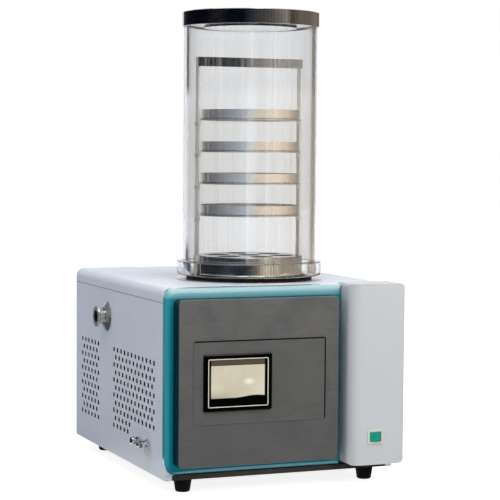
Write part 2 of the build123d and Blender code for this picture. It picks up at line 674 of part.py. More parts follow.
def column_cover():
    cover = column_block(0) - column_block(COLUMN_WALL)
    half_w, half_h = ROCKER_BODY_W / 2 + FIT, ROCKER_BODY_H / 2 + FIT
    return cover - slab(ROCKER_X - half_w, ROCKER_X + half_w, COLUMN_FRONT_Y - 5, COLUMN_FRONT_Y + 10,
                        ROCKER_Z - half_h, ROCKER_Z + half_h)


# ---------------------------------------------------------------- rocker switch
def rocker_frame():
    """The switch's housing, a box open to the front with a flat frame round its mouth."""
    frame = plate_xz(ROCKER_FRAME_W, ROCKER_FRAME_H, 2, COLUMN_FRONT_Y - ROCKER_FRAME_T, COLUMN_FRONT_Y,
                     ROCKER_X, ROCKER_Z)
    frame += slab(ROCKER_X - ROCKER_BODY_W / 2, ROCKER_X + ROCKER_BODY_W / 2, COLUMN_FRONT_Y - 1,
                  COLUMN_FRONT_Y + ROCKER_BODY_D, ROCKER_Z - ROCKER_BODY_H / 2, ROCKER_Z + ROCKER_BODY_H / 2)
    half_w, half_h = ROCKER_W / 2 + ROCKER_CLEAR, ROCKER_H / 2 + ROCKER_CLEAR
    frame -= slab(ROCKER_X - half_w, ROCKER_X + half_w, COLUMN_FRONT_Y - 5,
                  COLUMN_FRONT_Y + ROCKER_BODY_D - 2, ROCKER_Z - half_h, ROCKER_Z + half_h)
    pin = Pos(ROCKER_X, ROCKER_PIVOT_Y, ROCKER_Z) * Cylinder(ROCKER_PIN_R, 2 * half_h + 1)
    return frame + pin


def rocker_button():
    """Two flat halves that meet in a ridge over the pivot, one of them pressed in at rest."""
    reach = ROCKER_W / 2
    tip = ROCKER_NOSE - reach * math.tan(math.radians(ROCKER_TILT))
    outline = Polyline((-reach, -tip), (0, -ROCKER_NOSE), (reach, -tip), (reach * 0.8, ROCKER_DEEP),
                       (-reach * 0.8, ROCKER_DEEP), close=True)
    body = extrude(make_face(outline), ROCKER_H / 2, both=True)
    body &= Cylinder(reach, ROCKER_H)
    body -= Cylinder(ROCKER_PIN_R + SHAFT_CLEAR, ROCKER_H + 2)
    return Pos(ROCKER_X, ROCKER_PIVOT_Y, ROCKER_Z) * Rot(0, 0, -ROCKER_TILT) * body


# ---------------------------------------------------------------- cold trap and bell
def port_branch(radius, start=None):
    """A rod from inside the trap's wall straight back to the vacuum pipe's middle."""
    return rod_y(radius, start or BELL_Y + TRAP_R - 12, PORT_Y, BELL_X, PORT_Z)


def trap_vessel():
    """The stainless well, welded from three: a rolled shell, its top flange, and a pressed floor that
    carries the drain stub."""
    outer, under, foot = TRAP_R + TRAP_WALL, TRAP_FLOOR_Z - TRAP_WALL, TRAP_FLOOR_Z + TRAP_EDGE
    stub, stub_bore = DRAIN_STUB_R, DRAIN_STUB_R - TRAP_WALL
    shell = ring(outer, TRAP_R, foot, CAB_H) - port_branch(PORT_BORE_R)
    flange = ring(TRAP_FLANGE_R, TRAP_R, CAB_H, TRAP_TOP)
    floor = turned([(stub_bore, under - DRAIN_STUB_L), (stub, under - DRAIN_STUB_L), (stub, under),
                    (outer - TRAP_EDGE, under), (outer, under + TRAP_EDGE), (outer, foot), (TRAP_R, foot),
                    (TRAP_R - TRAP_EDGE, TRAP_FLOOR_Z), (stub_bore, TRAP_FLOOR_Z)])
    return [shell, flange, floor]


def evaporator_jacket():
    """The sleeve brazed round the well, in which the refrigerant boils."""
    inner = TRAP_R + TRAP_WALL + FIT
    jacket = ring(inner + JACKET_T, inner, TRAP_FLOOR_Z + TRAP_EDGE, CAB_H - SHEET - 20)
    return jacket - port_branch(PORT_PIPE_R + FIT)


def trap_insulation():
    half, top = FOAM_SIDE / 2, CAB_H - SHEET - FIT
    foam = slab(BELL_X - half, BELL_X + half, BELL_Y - half, BELL_Y + half, FOAM_Z0, top)
    foam = fillet(foam.edges().filter_by(Axis.Z), FOAM_CORNER_R)
    foam -= disc(JACKET_R + FIT, TRAP_FLOOR_Z - TRAP_WALL - FIT, top + 1)
    foam -= disc(DRAIN_STUB_R + FIT, FOAM_Z0 - 1, top)
    return foam - port_branch(PORT_PIPE_R + FIT)


def bell_seal():
    return ring(SEAL_R, BELL_FLANGE_BORE, TRAP_TOP, SEAL_TOP)


def bell_flange():
    soft, outer = BELL_FLANGE_SOFT, BELL_FLANGE_R
    return turned([(BELL_FLANGE_BORE, SEAL_TOP), (outer - soft, SEAL_TOP), (outer, SEAL_TOP + soft),
                   (outer, BELL_Z0 - soft), (outer - soft, BELL_Z0), (BELL_FLANGE_BORE, BELL_Z0)])


def bell_tube():
    return ring(BELL_R, BELL_BORE, BELL_Z0, BELL_TOP)


def lid_plate():
    """The clear top plate, with the thicker disc that centres it."""
    plate = disc(BELL_R, BELL_TOP, LID_PLATE_TOP)
    return plate + disc(LID_BOSS_R, BELL_TOP - LID_BOSS_T, BELL_TOP)


def lid_band():
    inner, low, lip = LID_BAND_R - LID_BAND_T, LID_TOP - LID_BAND_H, LID_TOP - LID_LIP_T
    soft = LID_LIP_T / 2
    return turned([(inner, low), (LID_BAND_R, low), (LID_BAND_R, LID_TOP - soft),
                   (LID_BAND_R - soft, LID_TOP), (LID_LIP_R, LID_TOP), (LID_LIP_R, lip), (inner, lip)])


# ---------------------------------------------------------------- tray rack
def rack_base():
    """A turned-down stainless cup that stands on the trap's flange, open through its top for vapour."""
    wall_in = RACK_BASE_R - RACK_BASE_T
    base = turned([(0, RACK_BASE_TOP - RACK_BASE_T), (wall_in, RACK_BASE_TOP - RACK_BASE_T),
                   (wall_in, TRAP_TOP), (RACK_FOOT_R, TRAP_TOP), (RACK_FOOT_R, TRAP_TOP + RACK_BASE_T),
                   (RACK_BASE_R, TRAP_TOP + RACK_BASE_T), (RACK_BASE_R, RACK_BASE_TOP - RACK_BASE_T),
                   (RACK_BASE_R - RACK_BASE_T, RACK_BASE_TOP), (0, RACK_BASE_TOP)])
    for i in range(RACK_HOLES):
        turn = math.radians(360 / RACK_HOLES * (i + 0.5))
        x = BELL_X + RACK_HOLE_OUT * math.cos(turn)
        y = BELL_Y + RACK_HOLE_OUT * math.sin(turn)
        base -= disc(RACK_HOLE_R, RACK_BASE_TOP - 5, RACK_BASE_TOP + 5, x, y)
    return base - disc(RACK_HOLE_R, RACK_BASE_TOP - 5, RACK_BASE_TOP + 5)


def rack_post(side):
    """A flat upright with a foot turned in under the base's foot ring."""
    near, far = sorted((BELL_X + side * POST_IN, BELL_X + side * POST_OUT))
    post = slab(near, far, BELL_Y - POST_W / 2, BELL_Y + POST_W / 2,
                TRAP_TOP + RACK_BASE_T, RACK_TOP_Z)
    block_in, block_out = sorted((BELL_X + side * (RACK_BASE_R + FIT), BELL_X + side * (RACK_FOOT_R - 0.5)))
    return post + slab(block_in, block_out, BELL_Y - POST_W / 2, BELL_Y + POST_W / 2,
                       RACK_BASE_TOP - 12, RACK_BASE_TOP - 0.5)


def rack_bar():
    """The flat cross-bar by which the rack is lifted, on the posts' front edges."""
    front = BELL_Y - POST_W / 2
    return slab(BELL_X - POST_OUT, BELL_X + POST_OUT, front - BAR_T, front, RACK_TOP_Z - BAR_H, RACK_TOP_Z)


def tray_support(z):
    """A flat ring with two turned-down tabs that are screwed to the posts."""
    support = disc(RING_R, z - RING_T, z)
    for side in (-1, 1):
        near, far = sorted((BELL_X + side * (RING_R - 6), BELL_X + side * (POST_IN - 0.05)))
        support += slab(near, far, BELL_Y - POST_W / 2, BELL_Y + POST_W / 2, z - RING_T, z)
        near, far = sorted((BELL_X + side * (POST_IN - TAB_T), BELL_X + side * (POST_IN - 0.05)))
        support += slab(near, far, BELL_Y - POST_W / 2, BELL_Y + POST_W / 2, z - TAB_H, z)
    return support - disc(RING_BORE, z - RING_T - 1, z + 1)


def tray(z):
    """A shallow dish pressed from sheet, its bottom edge drawn in."""
    inner, top, floor = TRAY_R - TRAY_T, z + TRAY_H, z + TRAY_T
    return turned([(0, z), (TRAY_R - TRAY_EDGE, z), (TRAY_R, z + TRAY_EDGE), (TRAY_R, top), (inner, top),
                   (inner, floor + TRAY_EDGE), (inner - TRAY_EDGE, floor), (0, floor)])


def hex_head(side, z):
    """A small hexagon head on the outside of a post."""
    head = extrude(RegularPolygon(HEX_R, 6), HEX_T)
    return Pos(BELL_X + side * POST_OUT, BELL_Y, z) * Rot(0, side * 90, 0) * head


def rack_screws():
    return [hex_head(side, z - TAB_SCREW_DROP) for z in TRAY_ZS for side in (-1, 1)]


# ---------------------------------------------------------------- vacuum and drain
def vacuum_line():
    """The port's flange and its pipe, capped at the far end, with the branch that goes to the trap."""
    face, pipe_end = LEFT - PORT_REACH, BELL_X + PORT_PIPE_R
    branch = BELL_Y + TRAP_R + TRAP_WALL + FIT
    cone_end = PORT_FLANGE_T + PORT_CONE_T
    outline = Polyline((0, 0), (PORT_FLANGE_R, 0), (PORT_FLANGE_R, PORT_FLANGE_T), (PORT_PIPE_R, cone_end),
                       (0, cone_end), close=True)
    line = Pos(face, PORT_Y, PORT_Z) * Rot(0, 0, -90) * revolve(make_face(outline), Axis.Y)
    line += rod_x(PORT_PIPE_R, face + PORT_FLANGE_T, pipe_end, PORT_Y, PORT_Z)
    line += port_branch(PORT_PIPE_R, branch)
    line -= rod_x(PORT_BORE_R, face - 1, pipe_end - (PORT_PIPE_R - PORT_BORE_R), PORT_Y, PORT_Z)
    return line - port_branch(PORT_BORE_R, branch - 1)


def port_escutcheon():
    """The polished dished ring where the pipe leaves the side panel."""
    bore = PORT_PIPE_R + FIT
    outline = Polyline((bore, 0), (ESCUTCHEON_R, 0), (ESCUTCHEON_R - 1, 1.5), (bore + 4, ESCUTCHEON_T),
                       (bore, ESCUTCHEON_T), close=True)
    return Pos(LEFT, PORT_Y, PORT_Z) * Rot(0, 0, 90) * revolve(make_face(outline), Axis.Y)


def vacuum_gauge():
    top = PORT_Z - PORT_PIPE_R - FIT
    neck = disc(6, top - 12, top, GAUGE_X, PORT_Y)
    return neck + disc(GAUGE_R, top - 12 - GAUGE_L, top - 12, GAUGE_X, PORT_Y)


def hexagon_x(radius, x0, x1, y, z):
    """A hexagon nut whose axis lies along X."""
    return Pos(x0, y, z) * Rot(0, 90, 0) * extrude(RegularPolygon(radius, 6), x1 - x0)


def vent_valve_body():
    """A through-panel needle valve: nut outside, spigot and stem."""
    body = hexagon_x(VENT_NUT_R, LEFT - VENT_NUT_T, LEFT, VENT_Y, FITTING_Z)
    body += rod_x(FITTING_HOLE_R - FIT, LEFT - 1, LEFT + SPIGOT_L, VENT_Y, FITTING_Z)
    return body + rod_x(STEM_R, LEFT - KNOB_STAND - STEM_IN, LEFT, VENT_Y, FITTING_Z)


def vent_valve_knob():
    """The round knob on the vent valve's stem, well rounded at both rims."""
    face, back = LEFT - KNOB_STAND - KNOB_L, LEFT - KNOB_STAND
    knob = rod_x(KNOB_R, face, back, VENT_Y, FITTING_Z)
    knob = fillet(knob.edges().filter_by(GeomType.CIRCLE), KNOB_SOFT)
    return knob - rod_x(STEM_R + SHAFT_CLEAR, back - STEM_IN - FIT, back + 1, VENT_Y, FITTING_Z)


def drain_valve_body():
    """A small plug valve on a through-panel spigot: nut, body, and a round nozzle that points outwards."""
    body = hexagon_x(DRAIN_NUT_R, LEFT - DRAIN_NUT_T, LEFT, DRAIN_Y, FITTING_Z)
    body += rod_x(FITTING_HOLE_R - FIT, LEFT - 1, LEFT + SPIGOT_L, DRAIN_Y, FITTING_Z)
    body += rod_x(VALVE_BODY_R, DRAIN_BODY_X - VALVE_BODY_R, LEFT, DRAIN_Y, FITTING_Z)
    body += Pos(LEFT - NOZZLE_REACH + NOZZLE_R, DRAIN_Y, FITTING_Z) * Sphere(NOZZLE_R)
    body -= rod_x(NOZZLE_BORE_R, LEFT - NOZZLE_REACH - 1, DRAIN_BODY_X, DRAIN_Y, FITTING_Z)
    spindle_end = DRAIN_Y - NOZZLE_BORE_R - 1
    return body + rod_y(STEM_R, DRAIN_SPINDLE_Y - LEVER_T, spindle_end, DRAIN_BODY_X, FITTING_Z)


def drain_lever():
    """The L-shaped handle on the drain valve's spindle: a hub and arm, turned forward at its end."""
    y0, y1 = DRAIN_SPINDLE_Y - LEVER_T + 0.4, DRAIN_SPINDLE_Y + 2.4
    lever = rod_y(LEVER_HUB_R, y0, y1, DRAIN_BODY_X, FITTING_Z)
    low, half = FITTING_Z - LEVER_L, LEVER_W / 2
    arm = slab(DRAIN_BODY_X - half, DRAIN_BODY_X + half, y0, y1 - 2, low - LEVER_T, FITTING_Z)
    foot = slab(DRAIN_BODY_X - half, DRAIN_BODY_X + half, y0 - LEVER_TURN, y0 + 1, low - LEVER_T, low)
    foot = fillet(edges_at(foot, Axis.Y, -FAR, y0 - LEVER_TURN + 0.1, Axis.Z), half - 1)
    lever += arm + foot
    return lever - rod_y(STEM_R + SHAFT_CLEAR, y0 - 1, y1 + 1, DRAIN_BODY_X, FITTING_Z)


def drain_hose():
    top = TRAP_FLOOR_Z - TRAP_WALL - DRAIN_STUB_L - FIT
    return tube([(BELL_X, BELL_Y, top), (BELL_X, BELL_Y, top - 45), (LEFT + 70, DRAIN_Y, FITTING_Z),
                 (LEFT + SPIGOT_L + FIT, DRAIN_Y, FITTING_Z)], [30, 50], HOSE_R)


# ---------------------------------------------------------------- cooling gear
def compressor():
    """A welded hermetic shell on its foot plate, with its weld band, suction stub and terminal box."""
    z0 = BASE_FLOOR + GROMMET_H + COMP_PLATE_T
    dome = [(COMP_R - COMP_DOME_R * (1 - math.cos(math.radians(a))),
             COMP_TOP - COMP_DOME_R * (1 - math.sin(math.radians(a)))) for a in (0, 30, 60, 90)]
    seam = z0 + COMP_SEAM_UP
    shell = turned([(0, z0), (COMP_R - COMP_FOOT_R, z0), (COMP_R, z0 + COMP_FOOT_R), (COMP_R, seam),
                    (COMP_R + COMP_SEAM, seam), (COMP_R + COMP_SEAM, seam + COMP_SEAM),
                    (COMP_R, seam + COMP_SEAM)] + dome + [(0, COMP_TOP)], COMP_X, COMP_Y)
    plate = slab(COMP_X - COMP_PLATE_W / 2, COMP_X + COMP_PLATE_W / 2, COMP_Y - COMP_PLATE_D / 2,
                 COMP_Y + COMP_PLATE_D / 2, z0 - COMP_PLATE_T, z0)
    plate = fillet(plate.edges().filter_by(Axis.Z), COMP_PLATE_CORNER_R)
    box_x, half = COMP_X - COMP_R, TERMINAL_BOX_W / 2
    box = slab(box_x - TERMINAL_BOX_T, box_x + COMP_SEAM * 3, COMP_Y - half, COMP_Y + half,
               z0 + TERMINAL_BOX_UP, z0 + TERMINAL_BOX_UP + TERMINAL_BOX_H)
    box = fillet(edges_at(box, Axis.X, -FAR, box_x - TERMINAL_BOX_T + 0.1), TERMINAL_BOX_SOFT)
    return shell + plate + box


def compressor_grommets():
    z0 = BASE_FLOOR
    grommets = []
    for sx in (-1, 1):
        for sy in (-1, 1):
            x = COMP_X + sx * (COMP_PLATE_W / 2 - 14)
            y = COMP_Y + sy * (COMP_PLATE_D / 2 - 14)
            grommets.append(disc(GROMMET_R, z0, z0 + GROMMET_H, x, y))
    return grommets


def condenser():
    """A finned core between two upright header pipes."""
    x0, x1 = COND_X0, COND_X0 + COND_T
    y0, y1 = COND_Y0 + HEADER_R, COND_Y0 + COND_W - HEADER_R
    core = slab(x0, x1, y0, y1, COND_Z0, COND_Z0 + COND_H)
    gap = (y1 - y0) / COND_FINS
    deep = COND_T * 0.36
    cuts = []
    for i in range(COND_FINS):
        a, b = y0 + i * gap + gap * 0.3, y0 + (i + 1) * gap
        for face, inner in ((x0 - 1, x0 + deep), (x1 - deep, x1 + 1)):
            cuts.append(slab(face, inner, a, b, COND_Z0 + 8, COND_Z0 + COND_H - 8))
    core -= Compound(children=cuts)
    for y in (y0, y1):
        core += disc(HEADER_R, COND_Z0 - HEADER_STUB, COND_Z0 + COND_H, (x0 + x1) / 2, y)
    foot_z = BASE_FLOOR
    return core + slab(x0 + 4, x1 - 4, y0 + 20, y1 - 20, foot_z, COND_Z0)


def fan_shroud():
    """A shallow box behind the condenser that narrows the air to the fan's ring, with motor arms."""
    x0 = COND_X0 + COND_T + FIT
    x1 = x0 + SHROUD_DEEP
    half_y, half_z = COND_W / 2 - HEADER_R, COND_H / 2 - 4
    box = slab(x0, x1, FAN_Y - half_y, FAN_Y + half_y, FAN_Z - half_z, FAN_Z + half_z)
    box -= slab(x0 - 1, x1 - SHEET, FAN_Y - half_y + SHEET, FAN_Y + half_y - SHEET,
                FAN_Z - half_z + SHEET, FAN_Z + half_z - SHEET)
    box -= rod_x(FAN_R + 4, x0, x1 + 1, FAN_Y, FAN_Z)
    arms = slab(ARM_X, ARM_X + 3, FAN_Y - 9, FAN_Y + 9, FAN_Z - half_z, FAN_Z + half_z)
    for side in (-1, 1):
        low, high = sorted((FAN_Z + side * half_z, FAN_Z + side * (half_z - 3)))
        arms += slab(x1 - 1, ARM_X + 1, FAN_Y - 9, FAN_Y + 9, low, high)
    return box + arms - rod_x(SHAFT_R + FIT, ARM_X - 5, ARM_X + 5, FAN_Y, FAN_Z)


def fan_motor():
    start = ARM_X + 3
    motor = rod_x(MOTOR_R, start, start + MOTOR_L, FAN_Y, FAN_Z)
    return motor + rod_x(SHAFT_R, FAN_X - FAN_HUB_T / 2 + 4, start + 1, FAN_Y, FAN_Z)


def fan_blade(turn):
    """One pitched blade: a plate that leans and grows wider away from the hub, trimmed to the ring."""
    root, tip = FAN_ROOT / 2, FAN_TIP / 2
    inner, outer = FAN_HUB_R - 3, FAN_R
    outline = Polyline((-root, inner), (root, inner), (tip + 8, outer * 0.7), (tip - 4, outer + 2),
                       (-tip, outer + 2), (-tip - 3, outer * 0.6), close=True)
    blade = extrude(make_face(outline), BLADE_T / 2, both=True)
    blade = Rot(0, FAN_PITCH, 0) * blade
    blade &= Cylinder(FAN_R, 60)
    return Rot(0, 0, turn) * blade


def fan_blades():
    """The hub with its pitched blades, drawn about Z and turned to face the condenser."""
    fan = Cylinder(FAN_HUB_R, FAN_HUB_T)
    for i in range(FAN_BLADES):
        fan += fan_blade(360 / FAN_BLADES * i)
    fan -= Pos(0, 0, 3) * Cylinder(SHAFT_R + SHAFT_CLEAR, FAN_HUB_T)
    return Pos(FAN_X, FAN_Y, FAN_Z) * Rot(0, 90, 0) * fan


def filter_drier():
    """The drier stands under the foam, and its thin end goes up to the trap's jacket."""
    shoulder = DRIER_R - LINE_R
    return turned([(0, DRIER_Z0), (LINE_R, DRIER_Z0), (DRIER_R, DRIER_Z0 + shoulder),
                   (DRIER_R, DRIER_Z1 - shoulder), (LINE_R, DRIER_Z1), (LINE_R, FOAM_Z0 - FIT),
                   (0, FOAM_Z0 - FIT)], DRIER_X, DRIER_Y)


def discharge_line():
    """Hot gas, from the compressor's top to the condenser's rear header."""
    x, y, start = COND_X0 + COND_T / 2, COND_Y0 + COND_W - HEADER_R, COMP_TOP
    return tube([(COMP_X - 30, COMP_Y, start), (COMP_X - 30, COMP_Y, start + 30), (x, y, start + 38),
                 (x, y, COND_Z0 + COND_H + FIT)], [14, 10], LINE_R)


def liquid_line():
    """From the foot of the condenser's front header, under the fan, to the filter drier."""
    x, y = COND_X0 + COND_T / 2 + HEADER_R + FIT, COND_Y0 + HEADER_R
    return tube([(x, y, LINE_LOW_Z), (DRIER_X, y, LINE_LOW_Z), (DRIER_X, DRIER_Y, LINE_LOW_Z),
                 (DRIER_X, DRIER_Y, DRIER_Z0 - FIT)], [20, 14], LINE_R)


def suction_line():
    """Cold gas, from the foam's back, where it is cut flush, to the compressor's top."""
    z, foam_back = CAB_H - SUCTION_DOWN, BELL_Y + FOAM_SIDE / 2
    back = COMP_Y - SUCTION_AHEAD
    line = tube([(SUCTION_X, foam_back - SUCTION_R, z), (COMP_X, back, z), (COMP_X, back, COMP_TOP)],
                [SUCTION_BEND_R], SUCTION_R)
    reach = 3 * SUCTION_R
    return line - slab(SUCTION_X - reach, SUCTION_X + reach, foam_back - reach, foam_back + FIT,
                       z - reach, z + reach)


# ---------------------------------------------------------------- electrics
def control_board():
    """The board behind the column, with its relays and terminal strip."""
    x0, x1, y, z0, z1 = BOARD_X0, BOARD_X1, INNER_Y + STUD_L, BOARD_Z0, BOARD_Z1
    board = slab(x0, x1, y, y + 1.6, z0, z1)
    for i in range(RELAYS):
        left = x0 + BOARD_EDGE + i * RELAY_PITCH
        board += slab(left, left + RELAY_W, y + 1.5, y + RELAY_H, z0 + 14, z0 + 42)
    board += slab(x0 + BOARD_EDGE, x1 - BOARD_EDGE, y + 1.5, y + TERMINALS_H, z1 - 24, z1 - 12)
    return board + slab(x0 + 16, x0 + 42, y + 1.5, y + CHIP_H, z0 + 60, z0 + 86)


def power_supply():
    """The cased supply on the base pan at the right front."""
    x1 = HALF_W - SUPPLY_IN
    return slab(x1 - SUPPLY_W, x1, SUPPLY_Y0, SUPPLY_Y0 + SUPPLY_D, BASE_FLOOR, BASE_FLOOR + SUPPLY_H)


def build():
    nodes["base_pan"] = base_pan()
    corners = [(sx, y) for y in (FOOT_IN_FRONT, CAB_D - FOOT_IN_BACK) for sx in (-1, 1)]
    for name, (sx, y) in zip(("front_left", "front_right", "rear_left", "rear_right"), corners):
        nodes["foot_" + name] = foot(sx * (HALF_W - FOOT_IN_X), y)
    for maker in (left_side_panel, right_side_panel, top_cover, front_wall, rear_panel, power_inlet,
                  front_bezel, panel_housing, front_panel, overlay, screen_case, screen_glass,
                  column_cover, rocker_frame, rocker_button, trap_vessel, evaporator_jacket,
                  trap_insulation, bell_seal, bell_flange, bell_tube, lid_plate, lid_band,
                  rack_base, rack_bar, rack_screws, vacuum_line, port_escutcheon, vacuum_gauge,
                  vent_valve_body, vent_valve_knob, drain_valve_body, drain_lever, drain_hose,
                  compressor, compressor_grommets, condenser, fan_shroud, fan_motor, fan_blades,
                  filter_drier, discharge_line, liquid_line, suction_line, control_board,
                  power_supply):
        nodes[maker.__name__] = maker()
    nodes["rack_posts"] = [rack_post(-1), rack_post(1)]
    for i, z in enumerate(TRAY_ZS):
        nodes[f"tray_{i + 1}"] = tray(z)
        nodes[f"tray_support_{i + 1}"] = tray_support(z)


def write():
    os.makedirs("parts", exist_ok=True)
    for name, shape in nodes.items():
        pieces = shape if isinstance(shape, list) else [shape]
        solids = [solid for piece in pieces for solid in piece.solids()]
        moved = [Pos(*SHIFT) * solid for solid in solids]
        whole = moved[0] if len(moved) == 1 else Compound(children=moved)
        export_step(whole, f"parts/{name}.step")


build()
write()
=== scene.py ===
import math

import bmesh
import bpy
import numpy as np
from mathutils import Matrix, Vector


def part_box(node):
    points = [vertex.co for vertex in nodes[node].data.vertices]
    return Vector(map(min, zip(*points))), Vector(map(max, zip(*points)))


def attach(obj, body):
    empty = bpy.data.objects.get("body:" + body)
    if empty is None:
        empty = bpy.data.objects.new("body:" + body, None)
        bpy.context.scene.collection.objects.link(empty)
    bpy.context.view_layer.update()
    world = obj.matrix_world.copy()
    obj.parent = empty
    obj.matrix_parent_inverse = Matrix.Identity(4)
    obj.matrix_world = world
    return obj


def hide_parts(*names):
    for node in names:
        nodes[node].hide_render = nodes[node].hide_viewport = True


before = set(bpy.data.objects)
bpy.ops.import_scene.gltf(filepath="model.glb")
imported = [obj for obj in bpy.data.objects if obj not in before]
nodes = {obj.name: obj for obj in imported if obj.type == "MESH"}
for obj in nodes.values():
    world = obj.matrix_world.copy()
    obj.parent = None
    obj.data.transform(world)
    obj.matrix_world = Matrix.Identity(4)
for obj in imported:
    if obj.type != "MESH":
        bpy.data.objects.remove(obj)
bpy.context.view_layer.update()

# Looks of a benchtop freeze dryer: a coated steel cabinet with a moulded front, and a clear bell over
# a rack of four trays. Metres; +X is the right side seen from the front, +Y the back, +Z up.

MM = 0.001
X, Y, Z = 0, 1, 2


# ---------------------------------------------------------------- how materials are written
def srgb(code):
    """A hex colour as linear red, green, blue and alpha."""
    parts = [int(code[i:i + 2], 16) / 255 for i in (1, 3, 5)]
    return [c / 12.92 if c <= 0.04045 else ((c + 0.055) / 1.055) ** 2.4 for c in parts] + [1.0]


def add(tree, kind, inputs=None, out=0, **settings):
    """Adds one shader node and gives one of its outputs. Its settings are its properties, and its
    inputs are values or the sockets to link."""
    made = tree.nodes.new("ShaderNode" + kind)
    for name, value in settings.items():
        setattr(made, name, value)
    for key, value in (inputs or {}).items():
        if isinstance(value, bpy.types.NodeSocket):
            tree.links.new(value, made.inputs[key])
        else:
            made.inputs[key].default_value = value
    return made.outputs[out] if made.outputs else made


def joined(tree, operation, *values):
    """Several values made one by the same arithmetic, from the first to the last."""
    total = values[0]
    for value in values[1:]:
        total = add(tree, "Math", {0: total, 1: value}, operation=operation)
    return total


# A pattern's range is entered and left gently, so that no layer has a hard edge.
EASED = {"interpolation_type": "SMOOTHSTEP"}


class Look:
    """A material with one Principled shader, built up in layers. Its patterns are made from Object
    coordinates in millimetres, at self.at, and its sharp edges catch the light as if rounded by edge mm."""

    def __init__(self, name, base, roughness, metallic=0.0, edge=None, **shader):
        self.material = bpy.data.materials.new(name)
        self.material.use_nodes = True
        self.tree = self.material.node_tree
        self.shader = self.tree.nodes["Principled BSDF"]
        self.set("Base Color", srgb(base))
        self.set("Roughness", roughness)
        self.set("Metallic", metallic)
        for key, value in shader.items():
            self.set(key.replace("_", " "), value)
        place = self.add("TexCoord", out="Object")
        self.at = self.add("VectorMath", {0: place, "Scale": 1 / MM}, operation="SCALE")
        if edge:
            self.set("Normal", self.add("Bevel", {"Radius": edge * MM}, samples=4))

    def add(self, kind, inputs=None, out=0, **settings):
        """Adds one node to this material."""
        return add(self.tree, kind, inputs, out, **settings)

    def set(self, name, value):
        """Sets a shader input to a constant, or links it to a socket."""
        if isinstance(value, bpy.types.NodeSocket):
            self.tree.links.new(value, self.shader.inputs[name])
        else:
            self.shader.inputs[name].default_value = value

    def so_far(self, name):
        """What a shader input has been given: a socket, or a constant."""
        socket = self.shader.inputs[name]
        return socket.links[0].from_socket if socket.links else list(socket.default_value)

    def product(self, *shares):
        """The share of the surface that several shares have in common."""
        return joined(self.tree, "MULTIPLY", *shares)

    def cloud(self, size, detail=2.0, stretch=(1, 1, 1)):
        """Soft noise between 0 and 1 whose features are size mm across, drawn out by stretch."""
        at = self.add("Mapping", {"Vector": self.at, "Scale": [1 / (size * s) for s in stretch]})
        return self.add("TexNoise", {"Vector": at, "Scale": 1.0, "Detail": detail})

    def cells(self, size):
        """A random value between 0 and 1 for each of the cells, size mm across, that fill the surface."""
        colours = self.add("TexVoronoi", {"Vector": self.at, "Scale": 1 / size}, "Color")
        return self.add("SeparateXYZ", {0: colours})

    def between(self, axis, low, high, clamp=True):
        """0 at low and 1 at high, two places in metres along an axis."""
        place = self.add("SeparateXYZ", {0: self.at}, axis)
        return self.add("MapRange", {0: place, 1: low / MM, 2: high / MM}, clamp=clamp)

    def looks(self, axis, normal="True Normal"):
        """How a face is turned to an axis: 1 when it looks along it, and -1 when against it."""
        return self.add("SeparateXYZ", {0: self.add("NewGeometry", out=normal)}, axis)

    def square_to(self, axis):
        """How squarely a face looks along an axis, either way: 0 to 1."""
        return self.add("Math", {0: self.looks(axis)}, operation="ABSOLUTE")

    def lay(self, pattern, span=None, colour=None, share=1.0, roughness=None, depth=None):
        """Lays one layer of the finish, led by a pattern. As the pattern goes through span, a colour
        covers what is there by 0 to share, and the roughness goes from one value to another. Without
        a span the pattern is itself the share. A depth in mm, times the pattern, raises the surface."""
        def led(least, most):
            if span is None:
                return self.product(pattern, most)
            return self.add("MapRange", {0: pattern, 1: span[0], 2: span[1], 3: least, 4: most}, **EASED)

        if colour:
            mix = {0: led(0.0, share), 6: self.so_far("Base Color"), 7: srgb(colour)}
            self.set("Base Color", self.add("Mix", mix, out=2, data_type="RGBA"))
        if roughness:
            self.set("Roughness", led(*roughness))
        if depth:
            relief = {"Height": pattern, "Distance": depth * MM}
            if self.shader.inputs["Normal"].links:
                relief["Normal"] = self.so_far("Normal")
            self.set("Normal", self.add("Bump", relief))


